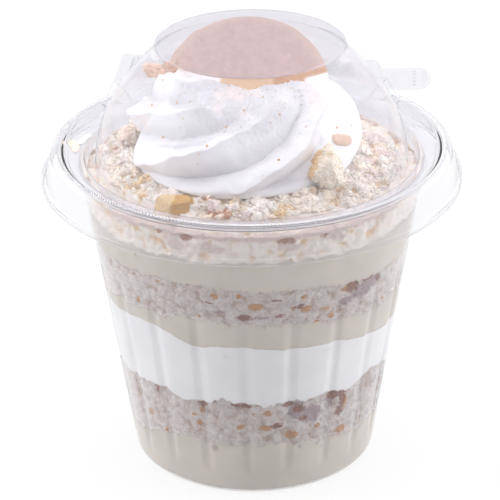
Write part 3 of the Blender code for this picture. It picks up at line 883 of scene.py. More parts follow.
def lidSection():
    disc, top = lidShape["discRadius"], lidShape["discHeight"]
    foot = top - lidShape["discWall"]
    dome, sheet = lidShape["domeFootRadius"], lidShape["sheet"]
    ledge = cupShape["ledgeHeight"] + lidShape["gap"] + sheet
    lip = cupShape["ringRadius"] - lidShape["gap"] - lidShape["lipInset"]
    moat = lidShape["moatHeight"]
    section = [(4.0 * mm, top), (disc - 2.0 * mm, top)]
    section += arcPoints((disc - 0.6 * mm, top - 0.6 * mm), 0.6 * mm, 90.0, 8.0, 7)
    section.append((disc + 0.35 * mm, foot + 0.7 * mm))
    heights = foot - (foot - lidShape["domeFootHeight"]) * np.linspace(0.0, 1.0, 30) ** 1.15
    section += [(domeRadius(h), h) for h in heights]
    section += arcPoints((dome + 0.75 * mm, moat + 0.7 * mm), 0.7 * mm, 200.0, 270.0, 4)
    section += arcPoints((dome + 1.7 * mm, moat + 0.7 * mm), 0.7 * mm, 270.0, 345.0, 4)
    section += arcPoints((dome + 3.3 * mm, ledge - 0.7 * mm), 0.7 * mm, 165.0, 90.0, 4)
    section += [(lip, ledge), (lip + lidShape["lipLean"], cupShape["rimHeight"] - lidShape["lipDrop"])]
    return closeRows(section, 1.3 * mm)


def buildLid():
    profile = np.array(lidSection())
    bearing = bearings(lidShape["stepsRound"])
    radius, height = spunOut(profile, bearing)
    edge = cupShape["ringRadius"] - lidShape["gap"] - lidShape["flatFrom"]
    ledge = cupShape["ledgeHeight"] + lidShape["gap"] + lidShape["sheet"]
    first, last = [math.radians(a) for a in lidShape["panelLimits"]]
    share = 1.0 - ramp(np.pi - np.abs(bearing), first, last)
    outside = profile[:, 0] > edge
    back = cupShape["panelBack"] - lidShape["panelInset"] + (radius[outside] - edge)
    radius[outside] += (panelEdge(bearing, back) - radius[outside]) * share
    height[outside] += (ledge - height[outside]) * share
    rings = places(radius, bearing[None, :], height)
    lid = addPiece("domeLid", loft("domeLid", rings, (True, False)), finishes["lid"], 50.0)
    # the flat disc on top is cloudier than the dome, and the lip is thinner
    lid.data.materials.append(finishes["disc"])
    lid.data.materials.append(finishes["lip"])
    for face in lid.data.polygons:
        x, y, z = face.center
        onDisc = z > lidShape["discHeight"] - 0.35 * mm
        onLip = math.hypot(x, y) > edge - 0.3 * mm
        face.material_index = int(onDisc) + 2 * int(onLip)
    thicken(lid, lidShape["sheet"])
    settle(lid)
    finishPiece(lid, "clear_plastic", "lid")


buildLid()
print("lid built")


# Layers of food behind the wall: heights in millimetres at bearings in degrees

layerTops = {
    "custard_bottom": ((-180, 12.5), (-100, 10.8), (-65, 10.8), (-45, 14.2), (-29, 16.4), (-2, 16.3),
                       (24, 15.0), (43, 13.2), (75, 12.6), (120, 13.2)),
    "crumble_lower": ((-180, 28.0), (-130, 29.2), (-90, 27.8), (-59, 28.6), (-47, 29.9), (-27, 28.2),
                      (-10, 29.5), (3, 28.2), (6, 27.3), (12, 28.8), (32, 29.2), (43, 27.9),
                      (55, 30.6), (73, 27.4), (110, 28.2), (150, 29.5)),
    "cream_middle": ((-180, 45.5), (-120, 48.0), (-64, 47.2), (-47, 48.9), (-35, 48.1), (-21, 44.8),
                     (-16, 46.3), (-3, 45.9), (17, 45.3), (34, 44.4), (50, 42.0), (71, 40.6),
                     (110, 42.0), (150, 44.6)),
    "custard_middle": ((-180, 49.8), (-110, 50.6), (-64, 51.0), (-40, 52.9), (-23, 53.9), (-1, 53.1),
                       (20, 52.7), (48, 50.4), (90, 49.6), (140, 50.2)),
    "crumble_middle": ((-180, 61.8), (-110, 63.4), (-57, 62.7), (-22, 64.3), (-1, 63.0), (20, 62.3),
                       (45, 61.4), (90, 60.8), (140, 61.6)),
    "custard_top": ((-180, 71.0), (-120, 71.6), (-60, 71.2), (-25, 70.6), (0, 71.4), (30, 70.8),
                    (60, 71.8), (120, 71.0)),
}
layerOrder = list(layerTops)
layerStyle = {
    "custard": {"finish": "custard", "slot": "custard", "rows": 0.4},
    "crumble": {"finish": "crumble", "slot": "cake_crumbs", "rows": 0.3},
    "cream": {"finish": "cream", "slot": "whipped_cream", "rows": 0.8},
}
foodReach = 0.22 * mm      # how far the food's side stands inside the outer face of the wall
foodFloor = 0.45 * mm
layerSteps = 720           # bearings round each layer
# how far the line between two layers waves, in mm: wide waves and fine ones
edgeWaves = {"rough": (0.36, 0.24), "smooth": (0.16, 0.04)}
crumbleRelief = {"Lump_Size": 2.2 * mm, "Lump_Depth": 0.55 * mm, "Grain_Size": 0.6 * mm,
                 "Grain_Depth": 0.3 * mm}


def boundary(name, seed):
    keys = np.array(layerTops[name], float)
    bearing = bearings(layerSteps)
    level = np.interp(np.degrees(bearing), keys[:, 0], keys[:, 1], period=360.0)
    level = smoothRound(level, 8)
    circle = places(35.0 * mm, bearing, 0.0 * bearing)
    wide = Ripple(seed, 14, 2.5 * mm, 12.0 * mm).at(circle)
    fine = Ripple(seed + 50, 14, 0.8 * mm, 2.5 * mm).at(circle)
    # only the line between cream and custard is smooth
    wideReach, fineReach = edgeWaves["smooth" if name == "cream_middle" else "rough"]
    return (level + (wideReach * wide + fineReach * fine)) * mm


layerEdges = {name: boundary(name, 11 + index) for index, name in enumerate(layerOrder)}
layerEdges["floor"] = np.full(layerSteps, foodFloor)


def innerRings(edge, shares):
    # rings across the top or underside of a layer, level towards the middle
    bearing = bearings(layerSteps)
    rings = []
    for share in shares:
        level = edge.mean() + (edge - edge.mean()) * share ** 2
        rings.append(places(share * (wallRadius(level) - foodReach), bearing, level))
    return rings


def layerRings(top, bottom, rowHeight):
    # upper side, wall side and lower side of one layer, and how far each ring is from both edges
    bearing = bearings(layerSteps)
    rows = max(3, int(math.ceil((top - bottom).max() / rowHeight)))
    rings = innerRings(top, (0.12, 0.55, 0.9))
    for row in range(rows + 1):
        level = top + (bottom - top) * row / rows
        # near the floor the side follows the round corner of the cup
        corner = cupShape["baseCorner"]
        rise = np.clip(1.0 - level / corner, 0.0, 1.0)
        inset = corner * (1.0 - np.sqrt(np.maximum(0.0, 1.0 - rise ** 2)))
        rings.append(places(wallRadius(level) - foodReach - inset, bearing, level))
    rings += innerRings(bottom, (0.9, 0.55, 0.12))
    side = [min(row, rows - row) * 0.4 for row in range(rows + 1)]
    return np.array(rings), np.repeat([0.0] * 3 + side + [0.0] * 3, layerSteps)


# coloured patches that show at the wall: bearing in degrees, height in mm, half width in degrees,
# half height in mm, and strength
layerStains = {
    "crumble_lower": {
        "gold": ((-24.5, 20.9, 1.1, 0.7, 1.1), (-26.5, 23.4, 0.8, 0.5, 0.9),
                 (-52.1, 18.6, 1.2, 0.8, 1.0), (5.4, 25.4, 1.7, 0.8, 1.1), (-6.1, 21.3, 1.8, 1.0, 0.8),
                 (4.6, 20.8, 2.8, 0.8, 0.9), (16.2, 17.8, 2.3, 1.2, 1.2), (41.5, 15.2, 2.8, 1.3, 0.9),
                 (-22.6, 25.2, 1.4, 1.0, 0.9), (41.6, 24.0, 1.2, 2.4, 0.9),
                 (120.0, 22.0, 4.0, 1.4, 0.9), (175.0, 19.0, 3.0, 1.2, 0.9),
                 (-100.0, 20.0, 3.0, 1.2, 0.9), (-140.0, 24.0, 2.6, 1.2, 0.8)),
        "brown": ((-22.1, 27.2, 2.2, 1.0, 0.9), (-7.4, 28.2, 2.2, 0.8, 0.9),
                  (-3.6, 27.8, 2.4, 0.9, 0.9), (9.4, 21.4, 2.6, 0.8, 1.0), (14.0, 27.6, 2.8, 0.7, 0.9),
                  (35.4, 27.6, 3.2, 1.2, 1.2), (40.0, 25.2, 1.5, 2.6, 1.2), (38.6, 21.6, 1.6, 1.6, 1.0),
                  (18.6, 26.0, 2.2, 1.3, 0.9), (20.6, 22.6, 1.8, 1.0, 0.8),
                  (-44.4, 28.6, 0.9, 1.5, 0.9), (74.0, 20.0, 2.4, 2.6, 1.0),
                  (110.0, 26.0, 4.0, 1.6, 1.0), (150.0, 22.0, 3.0, 2.0, 1.0),
                  (-160.0, 25.0, 4.0, 1.4, 1.0), (-120.0, 26.0, 3.0, 1.2, 0.9),
                  (-80.0, 23.0, 2.0, 1.2, 0.8)),
        "blush": ((18.0, 25.4, 3.4, 2.6, 0.9), (25.0, 23.6, 4.4, 3.0, 0.8), (33.4, 25.4, 2.8, 2.4, 0.7),
                  (-5.6, 27.4, 5.0, 0.9, 0.6), (-45.0, 27.4, 2.2, 2.0, 0.6),
                  (62.0, 24.0, 4.0, 3.0, 0.5), (140.0, 24.0, 6.0, 3.0, 0.7),
                  (-130.0, 22.0, 6.0, 2.6, 0.6)),
    },
    "crumble_middle": {
        "gold": ((-13.9, 61.0, 1.2, 0.7, 1.1), (0.6, 58.2, 3.0, 1.0, 0.8), (17.7, 60.2, 1.0, 0.5, 1.0),
                 (19.2, 56.4, 2.2, 0.9, 1.0), (26.0, 55.4, 3.0, 0.7, 0.6), (-36.0, 62.4, 1.2, 0.7, 0.6),
                 (35.4, 60.4, 1.5, 1.6, 1.0), (100.0, 57.0, 3.0, 1.0, 0.8),
                 (165.0, 58.0, 3.0, 1.2, 0.9), (-95.0, 59.0, 3.0, 1.0, 0.8),
                 (-150.0, 56.0, 3.0, 1.2, 0.9)),
        "brown": ((-3.4, 55.0, 3.0, 0.8, 1.0), (16.4, 57.4, 2.6, 0.6, 0.8), (38.0, 59.8, 2.4, 1.6, 1.2),
                  (51.4, 58.6, 1.3, 1.0, 0.9), (7.6, 60.0, 2.2, 0.3, 0.9), (-16.4, 59.0, 2.4, 0.4, 0.7),
                  (9.0, 55.4, 2.4, 0.8, 0.6), (45.0, 60.0, 2.6, 0.8, 0.8), (120.0, 58.0, 4.0, 1.4, 1.0),
                  (-120.0, 58.0, 3.0, 1.2, 1.0), (175.0, 56.0, 3.0, 1.0, 0.9)),
        "blush": ((42.5, 57.4, 4.5, 2.4, 1.0), (35.4, 56.0, 2.8, 1.1, 0.9), (48.6, 58.4, 4.0, 1.7, 0.9),
                  (-12.0, 56.4, 3.4, 0.7, 0.6), (3.0, 55.0, 5.0, 0.8, 0.5),
                  (130.0, 58.0, 6.0, 2.2, 0.7), (-105.0, 57.0, 6.0, 1.8, 0.6)),
    },
    "custard_bottom": {"darkened": ((-17.8, 14.2, 1.8, 1.1, 0.7), (-22.0, 15.8, 3.0, 1.0, 0.45),
                               (20.0, 14.2, 1.6, 0.8, 0.5), (31.0, 12.2, 1.4, 0.8, 0.5))},
    "custard_middle": {"darkened": ()},       # its edges darken all the same
    "custard_top": {"darkened": ((-44.0, 68.6, 1.2, 0.8, 0.5), (-30.0, 64.6, 3.0, 0.5, 0.4))},
    "cream_middle": {"darkened": ((-10.7, 43.4, 1.5, 1.0, 0.5), (28.8, 42.8, 3.4, 0.4, 0.6),
                             (18.4, 43.0, 1.0, 0.8, 0.4))},
}


def wallPatches(points, patches):
    bearing = np.degrees(np.arctan2(points[:, 0], -points[:, 1]))
    amount = np.zeros(len(points))
    for angle, height, halfWidth, halfHeight, strength in patches:
        across = (bearing - angle) / halfWidth
        up = (points[:, 2] / mm - height) / halfHeight
        amount = np.maximum(amount, strength * np.exp(-0.7 * (across ** 2 + up ** 2)))
    return amount


def buildLayer(index):
    name = layerOrder[index]
    style = layerStyle[name.split("_")[0]]
    below = layerEdges[layerOrder[index - 1] if index else "floor"]
    rings, side = layerRings(layerEdges[name], below, style["rows"] * mm)
    side = np.append(side, [0.0, 0.0])   # the two poles
    mesh = loft(name, rings)
    layer = addPiece(name.replace("_", "-"), mesh, finishes[style["finish"]])
    setAttribute(mesh, "relief", np.minimum(side, 1.0))
    # custard darkens a little towards its edges, less deeply at the foot of the cup
    darkReach = 1.2 if name == "custard_bottom" else 2.0
    beside = 1.0 - ramp(side, 0.4, darkReach)
    beside[-2:] = 0.0
    points = vertexPlaces(mesh)
    for stain, patches in layerStains.get(name, {}).items():
        amount = 1.25 * wallPatches(points, patches)
        if stain == "darkened" and style["finish"] == "custard":
            amount = np.maximum(amount, 0.42 * beside)
        setAttribute(mesh, stain, amount)
    if style["finish"] == "crumble":
        applyTree(layer, crumbRelief, Shift=float(index), **crumbleRelief)
    applyTree(layer, pressFlutes)
    settle(layer)
    if style["finish"] != "crumble":
        layer.data.set_sharp_from_angle(angle=math.radians(50.0))
    finishPiece(layer, style["slot"], name)


for index in range(len(layerOrder)):
    buildLayer(index)
print("layers built")


# Crumb heap under the dome, with its shelf under the lid's moat

heapShape = {
    "seat": 83.6, "seatRadius": 27.0,    # level middle that carries the cream, in mm
    "edge": 38.3, "edgeHeight": 81.6,    # where the heap drops to the shelf
    "shelf": 79.3,
    "rowsDown": 26,
    "wallFrom": (40.0, 40.6),            # from here out it shows through the wall
    "bandFrom": (76.4, 77.6), "bandTo": (78.4, 79.2), "bandFront": (15.0, 30.0),
    # loose crumbs: between these distances from the axis, above this height
    "crumbsFrom": (24.5, 25.5), "crumbsTo": (37.4, 38.2), "crumbsAbove": (79.6, 80.4),
    "clearOf": (-19.2, -32.5), "clearReach": (4.0, 6.0),   # none by the wafer piece
}
heapRelief = {"Lump_Size": 3.6 * mm, "Lump_Depth": 1.3 * mm, "Grain_Size": 0.9 * mm,
              "Grain_Depth": 0.25 * mm}
# how strongly a band below the heap's edge is coloured all round
bandShares = {"gold": 0.45, "blush": 0.95, "brown": 0.1}
# coloured places on top of the heap: bearing, distance from the axis in mm, and reach in mm
heapStains = {
    "gold": ((-64.8, 36.2, 1.7), (-55.4, 37.2, 1.5), (-53.2, 34.7, 1.2), (-46.0, 37.2, 1.4),
             (-57.9, 30.4, 2.6), (-28.0, 30.5, 0.9), (12.4, 34.3, 1.7), (10.5, 37.0, 1.9),
             (32.8, 28.3, 2.2), (46.0, 29.0, 1.8), (22.0, 31.0, 1.0), (-6.0, 31.0, 1.2),
             (100.0, 34.0, 1.6), (135.0, 33.0, 2.0), (160.0, 35.0, 1.8), (-150.0, 34.0, 2.0)),
    "blush": ((64.5, 32.3, 1.6), (68.8, 33.3, 1.5), (61.8, 37.4, 1.8), (76.9, 37.2, 1.8),
              (62.7, 28.0, 1.4), (107.3, 32.7, 3.4), (96.0, 30.5, 2.6), (81.0, 31.0, 2.4),
              (112.0, 33.0, 5.0), (92.0, 34.0, 4.0), (128.0, 33.0, 4.0), (-78.0, 34.5, 2.6),
              (-95.0, 33.5, 2.2), (-120.0, 34.0, 2.4), (-5.0, 36.5, 1.3), (-17.0, 34.0, 1.3),
              (180.0, 34.0, 2.4)),
    "brown": ((-13.6, 36.4, 1.9), (-10.5, 34.6, 1.3), (-17.0, 36.0, 1.4), (-21.8, 31.0, 1.3),
              (-9.0, 37.0, 1.3), (31.5, 26.8, 1.0), (66.0, 32.6, 0.8), (-100.0, 35.0, 0.9),
              (140.0, 35.0, 1.0)),
}
# the same where the heap shows through the wall: bearing, height, half width, half height, strength
wallStains = {
    "gold": ((-1.6, 78.6, 1.6, 1.2, 0.9), (16.6, 75.6, 2.0, 1.0, 0.8), (-42.0, 76.0, 2.6, 1.2, 0.8),
             (9.0, 74.4, 1.4, 0.8, 0.7), (34.0, 76.4, 2.0, 1.0, 0.7), (-70.0, 76.0, 3.0, 1.4, 0.8)),
    "blush": ((-27.0, 75.4, 5.0, 2.2, 1.0), (-14.0, 74.6, 5.0, 1.6, 0.9), (12.0, 75.0, 4.0, 1.6, 1.0),
              (28.0, 76.6, 5.0, 2.0, 0.9), (-52.0, 77.0, 4.0, 1.6, 0.9), (48.0, 76.0, 5.0, 2.0, 0.8),
              (2.0, 77.6, 6.0, 1.4, 0.7)),
    "brown": ((-22.6, 77.2, 2.2, 1.2, 1.0), (11.0, 76.6, 3.0, 1.2, 1.0), (-56.0, 77.6, 2.0, 1.0, 0.8),
              (24.0, 77.0, 1.6, 0.9, 0.8), (-33.0, 77.0, 2.0, 0.8, 0.8)),
}


def topPatches(points, patches):
    amount = np.zeros(len(points))
    for angle, reach, size in patches:
        spot = np.array([math.sin(math.radians(angle)), -math.cos(math.radians(angle))]) * reach
        away = np.hypot(points[:, 0] / mm - spot[0], points[:, 1] / mm - spot[1]) / size
        amount = np.maximum(amount, np.exp(-0.7 * away ** 2))
    return amount


def heapHeight(radius, bearing):
    # the edge rises towards the left and the front, and waves five times round
    edge = heapShape["edgeHeight"] + 0.5 * np.cos(bearing) - 1.2 * np.sin(bearing)
    edge += 0.3 * np.cos(5.0 * bearing) + 0.6 * np.sin(5.0 * bearing)
    share = ramp(radius, heapShape["seatRadius"], heapShape["edge"])
    return heapShape["seat"] + (edge - heapShape["seat"]) * share


def faded(value, limits):
    low, high = heapShape[limits]
    return ramp(value, low * mm, high * mm)


def buildHeap():
    bearing = bearings(layerSteps)
    edge, shelf = heapShape["edge"], heapShape["shelf"]
    rings, relief = [], []
    for radius in np.concatenate([np.linspace(1.5, 22.0, 14), np.arange(22.4, edge + 0.01, 0.36)]):
        rings.append(places(radius * mm, bearing, heapHeight(radius, bearing) * mm))
        relief.append(1.0 if radius > 21.0 else 0.0)
    last = heapHeight(edge, bearing)
    for share in (0.3, 0.65, 1.0):
        level = last + (shelf - last) * share
        rings.append(places((edge + 0.5 * share) * mm, bearing, level * mm))
        relief.append(0.5)
    wall = (wallRadius(shelf * mm) - foodReach) / mm
    for radius in np.arange(edge + 0.9, wall - 0.2, 0.4):
        rings.append(places(radius * mm, bearing, shelf * mm + 0.0 * bearing))
        relief.append(1.0)
    floor = layerEdges["custard_top"]
    rows = heapShape["rowsDown"]
    for row in range(rows + 1):
        level = shelf * mm + (floor - shelf * mm) * row / rows
        rings.append(places(wallRadius(level) - foodReach, bearing, level))
        relief.append(min(1.0, 0.4 * min(row + 2, rows - row)))
    rings += innerRings(floor, (0.9, 0.5, 0.1))
    relief = np.append(np.repeat(relief + [0.0] * 3, layerSteps), [0.0, 0.0])
    mesh = loft("crumbHeap", np.array(rings))
    piece = addPiece("crumbHeap", mesh, finishes["heap"])
    setAttribute(mesh, "relief", relief)
    # a rosy band shows through the skirt, and at the front it goes on over the shelf
    points = vertexPlaces(mesh)
    reach = np.hypot(points[:, 0], points[:, 1])
    height = points[:, 2] / mm
    atWall = faded(reach, "wallFrom")
    front = faded(-points[:, 1], "bandFront")
    bandEnd = ramp(height, *heapShape["bandTo"])
    band = ramp(height, *heapShape["bandFrom"]) * (1.0 - (1.0 - front) * bandEnd)
    for stain, patches in heapStains.items():
        side = np.maximum(wallPatches(points, wallStains[stain]), bandShares[stain] * band) * atWall
        setAttribute(mesh, stain, topPatches(points, patches) * (1.0 - atWall) + side)
    # loose crumbs lie on top, between the cream and the edge, and clear of the wafer piece
    spread = relief * (1.0 - faded(reach, "crumbsTo")) * faded(reach, "crumbsFrom")
    spread *= faded(points[:, 2], "crumbsAbove")
    x, y = heapShape["clearOf"]
    away = np.hypot(points[:, 0] - x * mm, points[:, 1] - y * mm)
    setAttribute(mesh, "spread", spread * faded(away, "clearReach"))
    applyTree(piece, crumbRelief, Shift=3.0, **heapRelief)
    settle(piece)
    finishPiece(piece, "cake_crumbs", "crumble_top")
    return piece


heap = buildHeap()
print("heap built")

# kinds of crumb: finish, level of the ball, crumbs per square metre, and smallest and largest in mm
heapCrumbs = {
    "cakeClumps": {"finish": "crumbs", "level": 2, "Density": 2.2e5, "Smallest": 1.0, "Largest": 3.4,
                   "Rise": 0.04, "Flatness": 0.85, "Roughness": 0.55, "Seed": 4},
    "cakeGrains": {"finish": "crumbs", "level": 1, "Density": 2.6e6, "Smallest": 0.3, "Largest": 0.9,
                   "Rise": 0.15, "Flatness": 1.0, "Roughness": 0.35, "Seed": 5},
    "cakeDust": {"finish": "crumbs", "level": 1, "Density": 2.4e6, "Smallest": 0.2, "Largest": 0.45,
                 "Rise": 0.3, "Flatness": 1.0, "Roughness": 0.3, "Seed": 6},
    "goldenBits": {"finish": "golden", "level": 2, "Density": 3.5e4, "Smallest": 0.4, "Largest": 1.5,
                   "Rise": 0.1, "Flatness": 0.8, "Roughness": 0.5, "Seed": 8},
    "toastedBits": {"finish": "toasted", "level": 2, "Density": 1.6e4, "Smallest": 0.4,
                    "Largest": 1.0, "Rise": 0.1, "Flatness": 0.8, "Roughness": 0.5, "Seed": 9},
}


def scatterCrumbs(name, surface, style):
    crumbs = addObject(name, surface.data.copy())
    sizes = {key: style[key] * mm for key in ("Smallest", "Largest")}
    rest = {key: style[key] for key in ("Density", "Rise", "Flatness", "Roughness", "Seed")}
    applyTree(crumbs, looseCrumbs[style["level"]], Spread_By=style.get("spread", "spread"),
              Material=finishes[style["finish"]], **sizes, **rest)
    settle(crumbs)
    finishPiece(crumbs, "cake_crumbs")
    print(name, len(crumbs.data.polygons), "faces")
    return crumbs


scattered = {crumbName: scatterCrumbs(crumbName, heap, crumbStyle)
             for crumbName, crumbStyle in heapCrumbs.items()}
scatterCrumbs("clumpGrains", scattered["cakeClumps"],
              {"finish": "crumbs", "level": 1, "Density": 1.25e6, "Smallest": 0.3, "Largest": 0.85,
               "Rise": 0.2, "Flatness": 1.0, "Roughness": 0.35, "Seed": 7})
print("crumbs scattered")


# Whipped cream: a piped swirl whose ridges climb to the right

creamShape = {
    "centre": (-1.2, -1.0), "firstCrest": -74.0, "twist": 4.3, "lift": 1.2,
    "stepsRound": 450, "rows": 200,
    # a smaller fold between the ridges, as shares of their pitch
    "fold": {"from": 0.60, "rise": 0.08, "to": 0.98, "fall": 0.30, "depth": 0.22},
    # each ridge, from the left one round to the right: share of its pitch that is steep, and depth
    "ridges": ((0.56, 5.2), (0.26, 3.4), (0.34, 4.6), (0.40, 4.2), (0.40, 4.2), (0.36, 4.6)),
}
# radius and height of the swirl from its foot to its middle, at eight bearings, in mm
creamProfiles = {
    -120: ((27.6, 83.4), (28.6, 87.4), (28.2, 92.8), (25.4, 97.2), (20.4, 99.6), (13.0, 100.6),
           (0.0, 99.9)),
    -90: ((28.0, 83.4), (29.6, 87.0), (29.6, 92.6), (27.6, 98.2), (23.0, 102.4), (15.0, 103.2),
          (0.0, 99.9)),
    -60: ((29.0, 83.0), (29.8, 86.4), (29.2, 91.0), (26.4, 95.4), (21.0, 100.4), (13.0, 102.2),
          (0.0, 100.2)),
    -30: ((29.2, 82.8), (29.4, 86.2), (27.8, 90.2), (24.6, 93.2), (19.0, 96.8), (11.0, 99.5),
          (0.0, 100.2)),
    0: ((29.0, 83.0), (28.9, 86.4), (27.6, 89.8), (24.4, 92.8), (18.6, 96.0), (11.0, 98.6),
        (0.0, 99.9)),
    45: ((27.6, 83.2), (28.2, 86.6), (26.6, 90.6), (23.6, 94.2), (18.4, 98.6), (11.5, 100.3),
         (0.0, 99.9)),
    90: ((27.4, 83.4), (28.8, 86.8), (28.2, 91.0), (25.6, 95.2), (20.6, 99.2), (13.5, 100.6),
         (0.0, 99.9)),
    180: ((27.0, 83.6), (28.6, 87.6), (27.4, 92.6), (24.0, 96.6), (18.0, 98.8), (10.0, 99.2),
          (0.0, 98.5)),
}
# places where wafer crumbs colour the cream: centre and reach in mm, strength
creamTints = ((-3.0, -5.0, 98.0, 7.0, 0.7), (-7.0, -7.0, 97.0, 5.0, 0.6), (17.0, -2.5, 97.5, 6.0, 0.7),
              (-21.0, -2.0, 101.0, 3.0, 0.6), (-25.0, -9.0, 95.0, 2.6, 0.5))


def curveThrough(points, count):
    # a smooth curve through the points, as rows by x and y
    points = np.concatenate([[2 * points[0] - points[1]], points, [2 * points[-1] - points[-2]]])
    place = np.linspace(0.0, len(points) - 3.0001, count)
    index = place.astype(int)
    share = (place - index).reshape(-1, *([1] * (points.ndim - 1)))
    a, b, c, d = (points[index + offset] for offset in range(4))
    return 0.5 * (2 * b + (c - a) * share + (2 * a - 5 * b + 4 * c - d) * share ** 2
                  + (3 * b - a - 3 * c + d) * share ** 3)


def buildCream():
    steps = creamShape["stepsRound"]
    bearing = bearings(steps)
    angles = sorted(creamProfiles)
    keys = np.array([creamProfiles[angle] for angle in angles])
    shape = np.zeros((keys.shape[1], steps, 2))
    for row in range(keys.shape[1]):
        for axis in range(2):
            around = np.interp(np.degrees(bearing), angles, keys[:, row, axis], period=360.0)
            shape[row, :, axis] = smoothRound(around, 22)
    shape = curveThrough(shape[::-1], creamShape["rows"])
    girth, height = shape[..., 0], shape[..., 1]
    # how far up the side a place is, measured along it from the foot
    lengths = np.hypot(np.diff(girth, axis=0), np.diff(height, axis=0))
    rise = np.zeros_like(girth)
    rise[:-1] = np.cumsum(lengths[::-1], axis=0)[::-1]
    # how far a place has turned past the crest to its left: steep just after it, then gentle
    bare = places(girth, bearing[None, :], height)
    waver = Ripple(31, 16, 9.0, 26.0).at(bare)
    ridges = np.array(creamShape["ridges"])
    turn = np.degrees(bearing) - creamShape["firstCrest"] - creamShape["twist"] * rise
    turn = turn / (360.0 / len(ridges)) + 0.035 * waver
    ridge = np.floor(turn).astype(int) % len(ridges)
    phase = turn - np.floor(turn)
    steep, depth = ridges[ridge, 0], ridges[ridge, 1]
    groove = np.where(phase < steep, phase / steep, (1.0 - phase) / (1.0 - steep))
    groove = np.where(phase < steep, groove ** 0.85, groove ** 1.1)
    # the smaller fold runs at the upper left only
    fold = creamShape["fold"]
    folded = np.clip((phase - fold["from"]) / fold["rise"], 0.0, 1.0)
    folded *= np.clip((fold["to"] - phase) / fold["fall"], 0.0, 1.0)
    upperLeft = ramp(rise, 6.5, 10.0) * ramp(-np.degrees(bearing), 10.0, 40.0)
    groove = groove + fold["depth"] * folded * upperLeft
    strength = ramp(rise, 0.3, 2.4) * ramp(girth, 9.0, 18.0)
    inward = (depth * groove - creamShape["lift"]) * strength
    # grooves are cut at right angles to the swirl
    down = np.gradient(girth, axis=0), np.gradient(height, axis=0)
    size = np.hypot(*down) + 1e-9
    across, up = -down[1] / size, down[0] / size
    girth = girth - inward * across
    height = height - inward * up
    points = places(girth, bearing[None, :], height)
    points[..., 0] += creamShape["centre"][0]
    points[..., 1] += creamShape["centre"][1]
    soft = Ripple(32, 24, 2.5, 9.0).at(bare)
    fine = Ripple(33, 60, 0.5, 1.6).at(bare)
    # sugar and crumbs roughen the top round the cookie
    rough = 1.0 - ramp(np.hypot(bare[..., 0], bare[..., 1] + 3.0), 15.0, 21.0)
    unevenness = 0.18 * soft * ramp(rise, 0.5, 3.0)
    points[..., 2] += unevenness + (0.03 + 0.09 * rough) * fine * ramp(rise, 2.0, 4.0)
    mesh = loft("whippedSwirl", points * mm)
    # painted shade greys the grooves, least at the right, and the rough top is greyer too
    darkened = np.maximum(np.clip(groove, 0.0, 1.0) * strength, rough * (0.72 + 0.12 * soft))
    darkened *= 1.0 - 0.7 * ramp(bare[..., 0], 10.0, 18.0)
    tint = np.zeros_like(girth)
    for x, y, z, reach, amount in creamTints:
        away = np.sqrt((bare[..., 0] - x) ** 2 + (bare[..., 1] - y) ** 2 + (bare[..., 2] - z) ** 2)
        tint = np.maximum(tint, amount * (1.0 - ramp(away / reach + 0.2 * soft, 0.3, 1.0)))
    fields = {"spread": ramp(rise, 2.0, 5.0) * ramp(-bare[..., 1], -14.0, 0.0),
              "fuzz": rough * ramp(rise, 6.0, 9.0), "tint": tint, "darkened": darkened}
    for title, values in fields.items():
        setAttribute(mesh, title, np.append(values.ravel(), [0.0, 0.0]))
    piece = addPiece("whippedSwirl", mesh, finishes["cream"])
    finishPiece(piece, "whipped_cream", "whipped_cream")
    return piece


cream = buildCream()
print("cream built")


# Wafer cookie

cookieShape = {
    "centre": Vector((-1.0, 5.0, 98.6)) * mm, "radius": 20.8 * mm, "crown": 3.6 * mm,
    "sole": 2.8 * mm, "tilt": math.radians(35.0), "stepsRound": 360,
}


